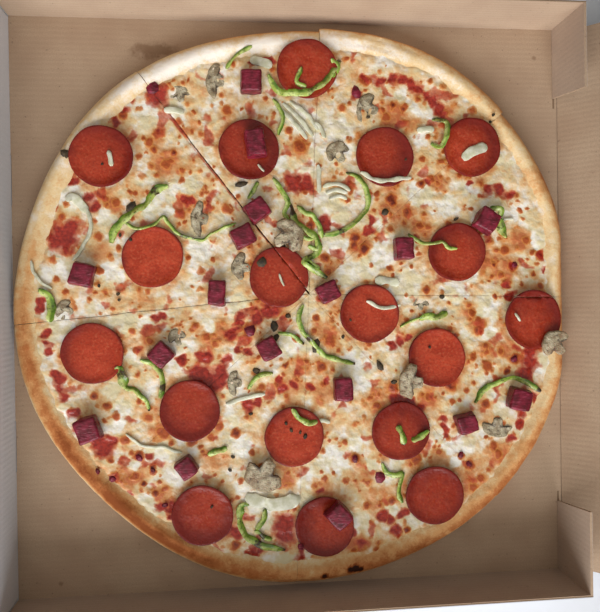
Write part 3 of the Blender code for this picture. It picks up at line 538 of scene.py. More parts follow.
def edge_mesh(tree, length):
    """Points and faces in millimetres of a cut edge of a length."""
    holder = bpy.data.objects.new("edge", bpy.data.meshes.new("edge"))
    bpy.context.scene.collection.objects.link(holder)
    modifier = holder.modifiers.new("edge", "NODES")
    modifier.node_group = tree
    half = BOARD / 2 - EDGE_INSET
    values = {"Length": length, "Pitch": FLUTE_PITCH, "Wave": half - 1.5 * PAPER, "Liner": half - 0.5 * PAPER,
              "Paper": PAPER, "Depth": EDGE_DEPTH}
    for socket in tree.interface.items_tree:
        if socket.in_out == "INPUT":
            modifier[socket.identifier] = values[socket.name]
    bpy.context.view_layer.update()
    made = bpy.data.meshes.new_from_object(holder.evaluated_get(bpy.context.evaluated_depsgraph_get()))
    verts = [v.co.copy() for v in made.vertices]
    faces = [tuple(face.vertices) for face in made.polygons]
    bpy.data.objects.remove(holder, do_unlink=True)
    return verts, faces


def all_cut_edges():
    """Flutes that show where the board is cut across them, one piece for each body."""
    paper = MATERIALS["paper"]
    tree = fluted_edge(paper)
    for body, home, edges in (("tray", Matrix(), TRAY_EDGES), ("lid", LID_HOME, LID_EDGES)):
        shape = Shape()
        for places in edges:
            start, end, thick = (Vector(place) for place in places)
            along = (end - start).normalized()
            out = along.cross(thick)
            verts, faces = edge_mesh(tree, (end - start).length)
            turn = Matrix((along, thick, out)).transposed()
            proud = out * (EDGE_PROUD - EDGE_DEPTH / 2)
            shape.add([home @ (start + proud + turn @ v) for v in verts], faces)
        made = shape.finish(f"cut_edges_of_{body}", paper, 30)
        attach(made, body)


# The pizza's slices

def rim_height(angle):
    """Height of the rim's crest, which rolls up and down on its way round."""
    return RIM_HEIGHT + 0.7 * math.sin(3 * angle + 1.0) + 0.5 * math.sin(8 * angle + 0.4)


def slice_outline(index):
    """The tip and the outer edge of a slice, read off its solid and widened until its cuts are hairlines."""
    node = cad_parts[f"crust_slice_{index}"]
    points = [v.co / MM for v in node.data.vertices]
    lowest = [point.to_2d() for point in points if point.z < FOOD_FLOOR + 0.1]
    tip = min(lowest, key=lambda place: (place - MEETING).length)
    edge = {}
    for point in points:
        if abs(point.z - FOOD_FLOOR - WIDEST_AT) < 0.05 and (point.to_2d() - tip).length > 100:
            angle = math.atan2(point.y - tip.y, point.x - tip.x)
            edge[round(angle, 3)] = point.to_2d()
    edge = unwrapped(edge)
    rays = [(edge[end] - tip).normalized() for end in (0, -1)]
    widen = [CUT_HALF_GAPS[cut % 8] - CUT_CLOSED_TO[cut % 8] for cut in (index - 1, index)]
    spread = rays[0].x * rays[1].y - rays[0].y * rays[1].x
    moved = []
    for number, point in enumerate(edge):
        share = number / (len(edge) - 1)
        along = (point - tip).normalized()
        moved.append(point + Vector((-along.y, along.x)) * (widen[1] * share - widen[0] * (1 - share)))
    return tip - rays[0] * (widen[1] / spread) - rays[1] * (widen[0] / spread), moved


def unwrapped(edge):
    """Edge points in turning order, starting after the widest empty angle."""
    angles = sorted(edge)
    gaps = [(angles[(i + 1) % len(angles)] - angles[i]) % (2 * math.pi) for i in range(len(angles))]
    first = (gaps.index(max(gaps)) + 1) % len(angles)
    return [edge[a] for a in angles[first:] + angles[:first]]


def resampled(points, count):
    """Evenly spread points on a smooth curve through the given ones."""
    ends = [points[0] * 2 - points[1], *points, points[-1] * 2 - points[-2]]
    dense = []
    for before, start, end, after in zip(ends, ends[1:], ends[2:], ends[3:]):
        bend = 2 * before - 5 * start + 4 * end - after
        twist = 3 * start - before - 3 * end + after
        for i in range(12):
            t = i / 12
            dense.append(0.5 * (2 * start + (end - before) * t + bend * t * t + twist * t ** 3))
    dense.append(points[-1])
    run = [0.0]
    for a, b in zip(dense, dense[1:]):
        run.append(run[-1] + (b - a).length)
    chosen, k = [], 0
    for i in range(count):
        want = run[-1] * i / (count - 1)
        while k < len(run) - 2 and run[k + 1] < want:
            k += 1
        share = (want - run[k]) / max(run[k + 1] - run[k], 1e-9)
        chosen.append(dense[k].lerp(dense[k + 1], share))
    return chosen


def angle_at(point):
    """Direction of a place from the pizza's middle."""
    return math.atan2(point.y - PIZZA_CENTRE.y, point.x - PIZZA_CENTRE.x)


def dough_bulge(angle, inset):
    """Soft dents and blisters of the rim."""
    x, y = RIM_RADIUS * math.cos(angle), RIM_RADIUS * math.sin(angle)
    return 0.7 * grain(x, y + inset * 3, 16.0, 1.0) + 0.25 * grain(x + inset * 2, y, 5.0, 2.0)


def rim_profile(angle):
    """The section of the base from under its edge to under the cheese, as inset and height."""
    crest = rim_height(angle)
    return (
        (5.0, 0.0), (2.4, 0.3), (0.9, 1.8), (0.15, 3.6), (0.0, 5.0), (0.15, 6.6), (0.6, 8.2), (1.4, 9.7),
        (2.6, 11.0), (3.9, crest - 1.0), (5.3, crest - 0.4), (6.8, crest - 0.1), (8.2, crest - 0.1),
        (9.6, crest - 0.5), (11.0, 11.6), (12.4, 10.9), (14.0, 10.2), (15.6, 9.5), (17.4, 8.4), (20.0, 6.8),
        (RIM_WIDTH, BASE_TOP),
    )


# Browning of the rim by inset, at angles turning left from the right of the picture, with painted light and
# shade: paler on the top and right where light falls, darker on the left and bottom in shade
RIM_BROWNING_AND_LIGHT = (
    (0, ((0, 0.45), (2, 0.5), (4.5, 0.3), (8, 0.0), (12, 0.0), (16, 0.15), (19, 0.3))),
    (45, ((0, 0.6), (2, 0.6), (4.5, 0.42), (8, 0.3), (12, 0.25), (16, 0.35), (19, 0.2))),
    (90, ((0, 0.35), (1.5, 0.35), (3.2, -0.1), (9, -0.4), (13, -0.25), (17, 0.2), (20, 0.1))),
    (135, ((0, 0.1), (2, 0.1), (4.5, -0.15), (9, -0.15), (14, 0.1), (18, 0.2))),
    (180, ((0, -0.05), (1.2, 0.2), (5, 0.25), (8, 0.5), (10.5, 0.35), (13, 0.15), (18, 0.1))),
    (225, ((0, 0.0), (1.2, 0.2), (2.2, 0.7), (4, 1.2), (7, 1.25), (9.5, 0.85), (12, 0.35), (16, 0.05),
           (19, 0.0))),
    (270, ((0, -0.1), (0.8, 0.1), (1.6, 0.5), (5, 0.5), (8, 0.45), (12, 0.3), (15, 0.1), (19, 0.0))),
    (315, ((0, 0.3), (0.8, 0.5), (2, 0.95), (5, 0.8), (8, 0.5), (12, 0.3), (16, 0.2), (19, 0.1))),
)
CHAR_SPOTS = ((350, 568, 3.5), (355, 567, 4), (360, 568, 3), (324, 575, 3))


def rim_browning_and_light(angle, inset):
    """How far the rim has browned, with painted light and shade over it: floury and lit towards the top of
    the picture, brown and shaded towards its bottom.
    """
    total, shares = 0.0, 0.0
    for side, curve in RIM_BROWNING_AND_LIGHT:
        share = max(0.0, math.cos(angle - math.radians(side))) ** 6
        total += share * between(curve, inset)
        shares += share
    return total / shares


def crust_slice(index, material):
    """Base and rim of one slice: sections of the rim that all run in to the slice's tip."""
    tip, edge = slice_outline(index)
    columns = resampled(edge, CRUST_COLUMNS)
    verts, toast_and_light, faces = [], [], []
    for number, outer in enumerate(columns):
        angle = angle_at(outer)
        reach = (tip - outer).length
        inward = (tip - outer) / reach
        profile = [(reach, 0.0), (RIM_WIDTH, 0.0), *rim_profile(angle), (reach, BASE_TOP)]
        for row, (inset, height) in enumerate(profile):
            place = outer + inward * inset
            lift = dough_bulge(angle, inset) if height > WIDEST_AT and inset < RIM_PUFFED else 0.0
            verts.append((place.x, place.y, FOOD_FLOOR + height + lift))
            # The rim's browning carries painted light and shade by side; the underside stays even
            warmth = rim_browning_and_light(angle, inset) if row > 5 else 0.45
            warmth += 0.22 * grain(place.x, place.y, 22.0, 5.0)
            warmth += 1.5 * spot_sum(place, CHAR_PLACES) * (height > BASE_TOP)
            toast_and_light.append(warmth)
        rows = len(profile)
        if number:
            near, far = (number - 1) * rows, number * rows
            faces += [(near + r, far + r, far + r + 1, near + r + 1) for r in range(rows - 1)]
    faces.append(tuple(range(rows)))
    faces.append(tuple(reversed(range(len(verts) - rows, len(verts)))))
    made = piece(f"base_and_rim_{index}", verts, faces, material, {"toast_and_light": toast_and_light}, 60)
    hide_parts(f"crust_slice_{index}")


def spot_sum(place, spots):
    """How much the named spots cover a place."""
    total = 0.0
    for x, y, radius in spots:
        away = math.hypot(place.x - x, place.y - y)
        if away < radius * 1.6:
            total = max(total, smooth_step(away, radius * 1.4, radius * 0.5))
    return total


def spot_field(places, spots, solid, fade):
    """Cover of many places by spots that are whole up to a share of their radius and gone at another."""
    cover = numpy.zeros(len(places))
    for x, y, radius, *depth in spots:
        away = numpy.hypot(places[:, 0] - x, places[:, 1] - y) / radius
        near = numpy.nonzero(away < fade)[0]
        share = numpy.clip((fade - away[near]) / (fade - solid), 0.0, 1.0)
        share = share * share * (3 - 2 * share) * (depth[0] if depth else 1.0)
        cover[near] = numpy.maximum(cover[near], share)
    return cover


def noise_field(places, size, seed):
    """Smooth noise at many places."""
    return numpy.array([grain(x, y, size, seed) for x, y in places])


def strayed(places, size, reach, seed):
    """Places moved about by smooth noise, so that a spot laid over them gets an uneven edge."""
    moves = [noise_field(places, size, seed + axis) for axis in (0, 1)]
    return places + numpy.stack(moves, 1) * reach


def cheese_edge(angle):
    """How far inside the rim's edge the cheese has run."""
    x, y = RIM_RADIUS * math.cos(angle), RIM_RADIUS * math.sin(angle)
    ragged = 2.6 * grain(x, y, 16.0, 6.0) + 1.6 * grain(x, y, 5.0, 7.0)
    return between(CHEESE_EDGE, math.degrees(angle)) + ragged


def food_height(place, inset, angle):
    """Top of the cheese above the box's floor, running out over the rim in a thin ragged edge."""
    profile = rim_profile(angle)[5:]
    under = between(profile, inset) + dough_bulge(angle, inset) * (inset < RIM_PUFFED)
    field = CHEESE_FIELD + 0.5 + 0.65 * grain(place.x, place.y, 9.0, 3.0)
    field += 0.3 * grain(place.x, place.y, 3.5, 4.0)
    field += between(((14.5, 0.9), (20.0, 0.6), (26.0, 0.2), (32.0, 0.0)), inset)
    edge = cheese_edge(angle)
    rise = smooth_step(inset, edge - 0.6, edge + 3.0)
    return (under - 0.5) * (1 - rise) + max(field, under + 0.35) * rise


def food_top(place):
    """Height that a topping rests at, above the table."""
    angle = angle_at(place)
    inset = between(RIM_EDGE, angle) - (place - PIZZA_CENTRE).length
    top = food_height(place, inset, angle)
    if inset < RIM_WIDTH:
        top = max(top, between(rim_profile(angle)[5:], max(inset, 0.2)))
    for middle, reach, base in PRESSED:
        share = (place - middle).length / reach
        if share < 1.03:
            top = max(top, base + 1.7 + 0.6 * smooth_step(share, 0.75, 0.95))
    return FOOD_FLOOR + top


def cheese_finish(places):
    """Sauce, warmth and toasting of the cheese at many places."""
    loose = strayed(strayed(places, 7.0, 3.0, 11.0), 2.6, 1.4, 13.0)
    pale = spot_field(loose, PALE_PLACES, 0.5, 1.4)
    baked = spot_field(loose, BAKED_PLACES, 0.3, 1.4)
    warm = 0.44 + 0.4 * noise_field(places, 16.0, 9.0) + 0.5 * baked - 0.75 * pale
    for middle, reach, _ in PRESSED:
        away = numpy.abs(numpy.hypot(places[:, 0] - middle.x, places[:, 1] - middle.y) - reach - 1.5)
        warm += 0.3 * numpy.clip(1 - away / 3.0, 0.0, 1.0)
    sauce = spot_field(loose, SAUCE_PLACES, 0.35, 1.5)
    seeping = numpy.clip(noise_field(loose, 9.0, 27.0) * 2.2 - 0.5, 0.0, 0.6) * (1 - pale)
    sauce = numpy.maximum(sauce, seeping)
    warm += 0.4 * spot_field(loose, BLISTER_PLACES, 0.3, 2.3)
    slight = strayed(places, 3.0, 1.1, 17.0)
    browned = spot_field(slight, BLISTER_PLACES, 0.3, 1.25)
    return {"sauce": sauce, "warm": warm, "browned": browned}


def cut_wave(cut, away):
    """Sideways wander of a cut at a distance from the meeting of the cuts, the same for both its slices."""
    fade = smooth_step(away, 10.0, 35.0) * smooth_step(away, 150.0, 130.0)
    return 0.55 * grain(away, cut * 31.0, 17.0, 21.0) * fade


def cheese_slice(index, material):
    """Cheese of one slice: a sheet from its outer edge to its tip, closed down its sides and below."""
    tip, edge = slice_outline(index)
    columns = resampled(edge, CHEESE_COLUMNS)
    last = CHEESE_COLUMNS - 1
    longest = max((tip - outer).length for outer in columns)
    rows = int((longest - CHEESE_START) / CHEESE_STEP)
    places, heights = [], []
    for number, outer in enumerate(columns):
        angle = angle_at(outer)
        reach = (tip - outer).length
        inward = (tip - outer) / reach
        sideways = Vector((inward.y, -inward.x))
        for row in range(rows):
            inset = CHEESE_START + (reach - CHEESE_START) * row / (rows - 1)
            place = outer + inward * inset
            for cut, columns_away, side in ((index - 1, number, -1), (index % 8, last - number, 1)):
                if columns_away < 5:
                    drift = cut_wave(cut, reach - inset)
                    if cut == RAGGED_CUT:
                        drift += side * 0.3 * grain(reach - inset, side * 9.0, 2.2, 23.0)
                    place = place + sideways * drift * (1 - columns_away / 5)
            places.append((place.x, place.y))
            heights.append(food_height(place, inset, angle))
    places, heights = numpy.array(places), numpy.array(heights)
    finish = cheese_finish(places)
    by_column = finish["sauce"].reshape(len(columns), rows)
    for cut, lip in ((index - 1, by_column[:2]), (index % 8, by_column[-2:])):
        red = 0.6 if cut == RAGGED_CUT else 0.2
        soaked = noise_field([(row, cut) for row in range(rows)], 9.0, 25.0)
        numpy.maximum(lip, red * (0.75 + 0.5 * soaked), out=lip)
    heights += 0.5 * finish["browned"] - 0.35 * finish["sauce"] * (heights > CHEESE_FIELD)
    for middle, reach, base in PRESSED:
        under = numpy.hypot(places[:, 0] - middle.x, places[:, 1] - middle.y) < reach - 1.0
        heights[under] = numpy.minimum(heights[under], base + 0.4)
    verts = [(x, y, FOOD_FLOOR + z) for (x, y), z in zip(places.tolist(), heights.tolist())]
    values = {name: field.tolist() for name, field in finish.items()}
    top = len(verts)
    faces = []
    for near in range(0, last * rows, rows):
        far = near + rows
        faces += [(near + r, near + r + 1, far + r + 1, far + r) for r in range(rows - 1)]
    loop = [*range(rows), *range(2 * rows - 1, top, rows), *range(top - 2, last * rows - 1, -1),
            *range((last - 1) * rows, 0, -rows)]
    # The foot of each slice's walls, dark with painted shade in the gap
    for corner in loop:
        x, y, _ = verts[corner]
        verts.append((x, y, FOOD_FLOOR + CHEESE_FOOT))
        for name in values:
            values[name].append(CUT_FOOT_SAUCE_AND_SHADE[name])
    for i in range(len(loop)):
        j = (i + 1) % len(loop)
        faces.append((loop[i], top + i, top + j, loop[j]))
    faces.append(tuple(range(top, top + len(loop))))
    made = piece(f"cheese_{index}", verts, faces, material, values, 75)
    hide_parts(f"cheese_slice_{index}")


# Toppings

def node_place(node):
    """Middle of a node in the plane, and its lowest height, in millimetres."""
    low, high = (Vector(corner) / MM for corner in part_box(node))
    return ((low + high) / 2).to_2d(), low.z


def sausage_slice(node, centre, base, seed, cut=None):
    """A cupped slice with a thin curled edge; a cut one keeps the side of its stroke that is asked for."""
    sides = 64
    depth, turn, overall = DARK_SIDES[seed]
    turn = math.radians(turn)
    verts, rings, cure_and_shade = [], [], []
    for share, height in SAUSAGE_SECTION:
        for i in range(sides):
            angle = 2 * math.pi * i / sides
            wave = 1 + 0.014 * math.sin(2 * angle + seed) + 0.008 * math.sin(5 * angle + 2 * seed)
            wave += 0.012 * grain(math.cos(angle) * 10, math.sin(angle) * 10, 4.0, seed * 3.1)
            reach = SAUSAGE_RADIUS * share * wave
            curl = 0.5 * smooth_step(share, 0.6, 1.0) * math.sin(2 * angle + seed * 1.7)
            x, y = reach * math.cos(angle), reach * math.sin(angle)
            lump = 0.25 * grain(x, y, 6.0, seed * 1.3)
            # The slice's own darkness, and painted shade that darkens one side
            cure_and_shade.append(overall + depth * smooth_step(share, 0.1, 1.0) * (0.5 + 0.5 * math.cos(angle - turn)))
            rise = height + max(curl, -0.2) + lump * (height > 1.0)
            verts.append((centre.x + x, centre.y + y, base + rise))
            rings.append(share)
    made = piece(f"sausage_{node}", verts, closed_rings(len(SAUSAGE_SECTION), sides), MATERIALS["sausage"],
                 {"ring": rings, "cure_and_shade": cure_and_shade}, 50)
    if cut:
        trim(made, *cut)
    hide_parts(node)


def trim(made, point, normal):
    """Cut a mesh by an upright plane, drop what lies beyond it and close the cut."""
    bm = bmesh.new()
    bm.from_mesh(made.data)
    geometry = bm.verts[:] + bm.edges[:] + bm.faces[:]
    cut = bmesh.ops.bisect_plane(bm, geom=geometry, plane_co=Vector((*point, 0)) * MM,
                                 plane_no=Vector((*normal, 0)), clear_outer=True)
    edges = [item for item in cut["geom_cut"] if isinstance(item, bmesh.types.BMEdge)]
    bmesh.ops.contextual_create(bm, geom=edges)
    bm.to_mesh(made.data)
    bm.free()


def all_sausage():
    """The whole slices at their nodes' places, and the two that the cutter went through."""
    for number in range(1, 17):
        node = f"pepperoni_{number:02d}"
        centre, base = node_place(node)
        sausage_slice(node, centre, base, number)
    for number, stroke in CUT_STROKES.items():
        start, end = (on_cheese(pixel) for pixel in stroke)
        along = (end - start).normalized()
        across = Vector((-along.y, along.x))
        centre = on_cheese(CUT_CENTRES[number])
        for letter, side in (("a", 1), ("b", -1)):
            node = f"pepperoni_{number}_{letter}"
            base = node_place(node)[1]
            sausage_slice(node, centre, base, number, (start + across * side * STROKE_HALF, across * -side))


def rounded_block(length, width, height, turn, centre, base, seed):
    """A diced cube with soft edges and slightly bulging, uneven faces."""
    bm = bmesh.new()
    bmesh.ops.create_cube(bm, size=1.0)
    bmesh.ops.scale(bm, vec=(length, width, height), verts=bm.verts)
    bmesh.ops.bevel(bm, geom=bm.edges[:], offset=1.7, segments=3, affect="EDGES", profile=0.6)
    long_edges = [edge for edge in bm.edges if edge.calc_length() > 4]
    bmesh.ops.subdivide_edges(bm, edges=long_edges, cuts=3, use_grid_fill=True)
    spin = Matrix.Rotation(math.radians(turn), 3, "Z")
    for vert in bm.verts:
        taper = 1 - 0.06 * (vert.co.z / height + 0.5)
        co = Vector((vert.co.x * taper, vert.co.y * taper, vert.co.z))
        co *= 1 + 0.12 * noise.noise(co / 6 + Vector((seed, 0, 0)))
        vert.co = spin @ co + Vector((centre.x, centre.y, base + height / 2))
    bm.verts.index_update()
    verts = [v.co.copy() for v in bm.verts]
    faces = [tuple(v.index for v in face.verts) for face in bm.faces]
    bm.free()
    return verts, faces


def all_cubes():
    """The cubes at their nodes' places, each with its own size and turn."""
    for number, (turn, length, width, height) in enumerate(CUBE_SIZES, 1):
        node = f"meat_cube_{number:02d}"
        centre, base = node_place(node)
        verts, faces = rounded_block(length, width, height, turn, centre, base - 0.2, number * 3.7)
        made = piece(f"cured_cube_{number:02d}", verts, faces, MATERIALS["beef"], None, 45)
        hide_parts(node)


def mushroom_outline(width, height, seed):
    """Cap over stem, as a smooth closed outline, with 1 at the gills between them."""
    points = []
    for i in range(22):
        angle = math.radians(-12 + 204 * i / 21)
        points.append((math.cos(angle) * width / 2, math.sin(angle) * height * 0.52, 0.0))
    for x, y, gill in ((-0.36, -0.15, 1.0), (-0.2, -0.1, 1.0), (-0.16, -0.25, 0.2), (-0.15, -0.4, 0.0),
                       (-0.08, -0.47, 0.0), (0.08, -0.47, 0.0), (0.15, -0.4, 0.0), (0.16, -0.25, 0.2),
                       (0.2, -0.1, 1.0), (0.36, -0.15, 1.0)):
        points.append((x * width, y * height, gill))
    return [(x * (1 + 0.2 * grain(x, y, 5.0, seed)), y * (1 + 0.2 * grain(y, x, 5.0, seed)), gill)
            for x, y, gill in points]


def mushroom_slice(shape, centre, base, turn, width, height, thickness, seed):
    """A slice lying flat, wavy and thick in its middle."""
    outline = mushroom_outline(width, height, seed)
    spin = Matrix.Rotation(math.radians(turn), 2)
    middle = Vector((0, height * 0.12))
    verts, rims, gills = [], [], []
    for share, level in MUSHROOM_SECTION:
        for x, y, gill in outline:
            spot = spin @ (middle + (Vector((x, y)) - middle) * share)
            bend = 0.9 * grain(spot.x, spot.y, 7.0, seed * 2.3) + 0.4 * grain(spot.x, spot.y, 3.0, seed * 1.3)
            rise = thickness * level + bend * (level > 0.3)
            verts.append((centre.x + spot.x, centre.y + spot.y, base + rise))
            rims.append(share if y > -0.12 * height else share * 0.7)
            gills.append(gill * smooth_step(share, 0.3, 0.75))
    shape.add(verts, closed_rings(len(MUSHROOM_SECTION), len(outline)), rim=rims, gills=gills)


def all_mushrooms():
    """The largest slices take their nodes' places, and the smaller ones sink a little into the cheese."""
    for number, (pixel, turn, width, height) in enumerate(MUSHROOM_PLACES, 1):
        shape = Shape("rim", "gills")
        node = f"mushroom_{number}"
        if number <= MUSHROOM_NODES:
            centre, base = node_place(node)
            mushroom_slice(shape, centre, base, turn, width, height, MUSHROOM_THICK, number)
        else:
            centre = on_cheese(pixel)
            base = food_top(centre) - MUSHROOM_SUNK
            mushroom_slice(shape, centre, base, turn, width, height, MUSHROOM_THIN, number)
        made = shape.finish(f"mushroom_slice_{number}", MATERIALS["mushroom"], 60)
        if number <= MUSHROOM_NODES:
            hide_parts(node)


def smoothed(values, reach=4):
    """Running mean, so that a strip bridges the small dents under it."""
    windows = [values[max(i - reach, 0):i + reach + 1] for i in range(len(values))]
    return [sum(window) / len(window) for window in windows]


def strip(shape, pixels, width, thickness, seed, lift, roll):
    """A cut strip along its path: a flat section that twists and swells, skin on one side, burnt patches."""
    path = [on_cheese(pixel) for pixel in pixels]
    length = sum((b - a).length for a, b in zip(path, path[1:]))
    path = resampled(path, max(int(length), 4))
    rests = smoothed([food_top(place) for place in path])
    sides = 10
    verts, skins, burnt = [], [], []
    for index, place in enumerate(path):
        ahead, behind = path[min(index + 1, len(path) - 1)], path[max(index - 1, 0)]
        along = (ahead - behind).normalized()
        across = Vector((-along.y, along.x, 0))
        share = index / (len(path) - 1)
        taper = min(1.0, 0.5 + 5 * min(share, 1 - share))
        wobble = grain(index, 0.0, 5.0, seed)
        tilt = roll * math.sin(share * 5 + seed) + 0.4 * wobble
        rise = lift * math.sin(math.pi * share) + 0.35 * grain(place.x, place.y, 6.0, seed)
        middle = Vector((place.x, place.y, rests[index] + 0.1 + thickness * 0.35 + rise))
        middle += across * (0.5 * grain(index, 5.0, 5.5, seed))
        half = width / 2 * taper * (1.1 + 0.3 * wobble)
        thick = thickness / 2 * (0.7 + 0.3 * taper)
        for i in range(sides):
            angle = 2 * math.pi * (i + 0.5) / sides
            u = math.copysign(abs(math.cos(angle)) ** 0.7, math.cos(angle))
            v = math.copysign(abs(math.sin(angle)) ** 0.8, math.sin(angle))
            upward = Vector((0, 0, half * u * math.sin(tilt) + thick * v))
            verts.append(middle + across * (half * u * math.cos(tilt)) + upward)
            skins.append(0.5 + 0.5 * u)
            burnt.append(smooth_step(abs(share - 0.5), 0.38, 0.5) * 0.5 + 1.2 * grain(index, 9.0, 9.0, seed))
    shape.add(verts, closed_rings(len(path), sides), skin=skins, charred=burnt)


def all_strips():
    """Pepper strips lie looser than the onion's, which sink into the cheese."""
    for name, finish, reads, first_seed, rows, thickness, lift, roll in (
            ("pepper_strips", "pepper", ("skin", "charred"), 1, PEPPER_STRIPS, 1.7, 0.5, 0.6),
            ("onion_strips", "onion", ("skin",), 41, ONION_STRIPS, 1.3, 0.2, 0.2)):
        shape = Shape(*reads)
        for seed, (width, *pixels) in enumerate(rows, first_seed):
            strip(shape, pixels, width, thickness, seed, lift, roll)
        made = shape.finish(name, MATERIALS[finish], 70)


def flake(shape, centre, base, length, width, turn, seed):
    """A small irregular crumb, flat below and domed above."""
    sides = 7
    verts = []
    for share, height in ((0.8, 0.0), (1.0, 0.35), (0.6, 0.8)):
        for i in range(sides):
            angle = 2 * math.pi * i / sides
            reach = share * (1 + 0.35 * grain(i * 2.1, seed, 1.7, seed))
            flat = Vector((reach * length / 2 * math.cos(angle), reach * width / 2 * math.sin(angle)))
            flat = centre + Matrix.Rotation(math.radians(turn), 2) @ flat
            verts.append((flat.x, flat.y, base + height * min(width, 2.0)))
    shape.add(verts, closed_rings(3, sides))


def all_flakes():
    """Crumbs of dried herb and of red meat."""
    draw = random.Random(CRUMB_SEED)
    for name, material, crumbs in (("dark_herb_flakes", "herb", HERB_FLAKES),
                                   ("red_meat_bits", "beef", RED_BITS)):
        shape = Shape()
        for number, (x, y, length, width) in enumerate(crumbs):
            centre = on_cheese((x, y))
            flake(shape, centre, food_top(centre) - 0.3, length, width, draw.uniform(0, 180), number + 0.5)
        shape.finish(name, MATERIALS[material], 50)


# The board and its frames: the back wall turns at the floor's rear crease, and the lid at its top
FLUTE_PITCH = 3.2
BOARD = 1.6
PAPER = 0.28
EDGE_DEPTH = 0.4
EDGE_PROUD = 0.08
EDGE_INSET = 0.02
WALL_HOME = Matrix.Translation((178.3, 0, 0.8)) @ Matrix.Rotation(math.radians(42.0), 4, "Y")
LID_HOME = WALL_HOME @ Matrix.Translation((0, 0, 43.4)) @ Matrix.Rotation(math.radians(143.324), 4, "Y")
# Cut edges that cross the flutes: start, end and the way through the board, so that the flutes face out
TRAY_EDGES = (
    ((176.2, 132.5, 2.0), (176.2, 127.5, 42.9), (-1, 0, 0)),
    ((176.2, -132.5, 2.0), (176.2, -127.5, 42.9), (1, 0, 0)),
)
LID_EDGES = (
    ((-344.7, -162.9, -23.8), (-344.7, 162.9, -23.8), (1, 0, 0)),
    ((-30.1, 176.0, -1.3), (-37.9, 176.0, -36.6), (0, 1, 0)),
    ((-30.1, -176.0, -1.3), (-37.9, -176.0, -36.6), (0, 1, 0)),
    ((-329.9, 176.0, -1.3), (-322.1, 176.0, -36.6), (0, -1, 0)),
    ((-329.9, -176.0, -1.3), (-322.1, -176.0, -36.6), (0, -1, 0)),
)
# Grease and dust on the floor: middle, half length, half width and strength
STAINS = ((155, 50, 20, 6, 0.75), (150, 57, 8, 4, 0.6), (585, 301, 4, 4, 0.4), (534, 58, 2, 2, 0.6),
          (61, 584, 2, 2, 0.6))
STAIN_DEPTH = 4

# Readings of the toppings, in the order of their nodes
SAUSAGE_RADIUS = 18.5
# From the middle of the underside round the curled edge to the middle of the top: share of radius and height
SAUSAGE_SECTION = ((0.55, 0.0), (0.9, 0.3), (0.985, 0.9), (1.0, 1.5), (0.99, 2.1), (0.955, 2.35), (0.9, 2.1),
                   (0.8, 1.75), (0.65, 1.6), (0.45, 1.65), (0.25, 1.7), (0.1, 1.7))
STROKE_HALF = 0.2
# The cut that stays open, and the finish of the cheese at the foot of a cut: some sauce, with warmth and
# browning that paint the shade in the gap
RAGGED_CUT = 3
CUT_FOOT_SAUCE_AND_SHADE = {"sauce": 0.3, "warm": 1.0, "browned": 1.3}
MEETING = from_photo((309, 294), FOOD_FLOOR + CHEESE_FIELD).to_2d()
# Painted shade: how much darker one side of a sausage slice is and which side in degrees; then how dark the
# whole slice is
DARK_SIDES = {
    1: (0.3, 90, 0.15), 2: (0.4, 45, 0.25), 3: (0.4, 0, 0.35), 4: (0.6, 340, 0.3), 5: (0.8, 30, 0.1),
    6: (0.3, 150, -0.15), 7: (0.6, 110, 0.2), 8: (0.3, 200, 0.1), 9: (0.5, 150, 0.05), 10: (0.3, 220, 0.05),
    11: (0.4, 270, 0.35), 12: (0.3, 120, 0.1), 13: (0.5, 60, 0.35), 14: (0.2, 90, 0.4), 15: (0.5, 250, 0.35),
    16: (0.6, 190, 0.3), 17: (0.3, 90, 0.25), 18: (0.5, 60, 0.3),
}
CUT_CENTRES = {17: (279, 277), 18: (530, 319)}
CUT_STROKES = {17: ((247, 215), (309, 292)), 18: ((500, 297), (560, 297))}
# Turn in degrees, length, width and height
CUBE_SIZES = (
    (0, 13, 14, 9), (8, 12, 17, 9), (35, 14, 13, 9), (25, 14, 13, 9), (-15, 14, 14, 9), (-3, 11, 16, 8),
    (45, 13, 13, 9), (28, 13, 13, 9), (2, 12, 15, 9), (18, 14, 15, 9), (35, 12, 12, 8), (42, 13, 14, 8),
    (14, 13, 12, 9), (-14, 14, 14, 9), (-30, 14, 14, 9), (4, 12, 14, 9), (25, 14, 12, 8),
)
# Share of the outline and of the thickness, from the underside to the top
MUSHROOM_SECTION = ((0.3, 0.0), (0.94, 0.1), (1.0, 0.5), (0.95, 0.9), (0.85, 1.0), (0.65, 0.97), (0.4, 0.93),
                    (0.15, 0.92))
MUSHROOM_NODES = 4
MUSHROOM_THICK = 3.0
MUSHROOM_THIN = 2.6
MUSHROOM_SUNK = 2.1
# Middle as a pixel, turn in degrees, width and height
MUSHROOM_PLACES = (
    ((265, 470), 150, 24, 21), ((285, 238), -60, 22, 19), ((411, 381), 80, 22, 16), ((551, 345), 40, 19, 17),
    ((216, 80), 80, 22, 12), ((180, 94), 10, 13, 11), ((368, 108), 70, 20, 14), ((338, 153), 30, 16, 15),
    ((242, 267), 85, 17, 12), ((65, 310), 70, 14, 11), ((200, 219), 85, 22, 11), ((177, 338), 20, 11, 11),
    ((235, 383), 85, 17, 9), ((497, 427), 170, 20, 13), ((421, 304), 0, 11, 9),
)
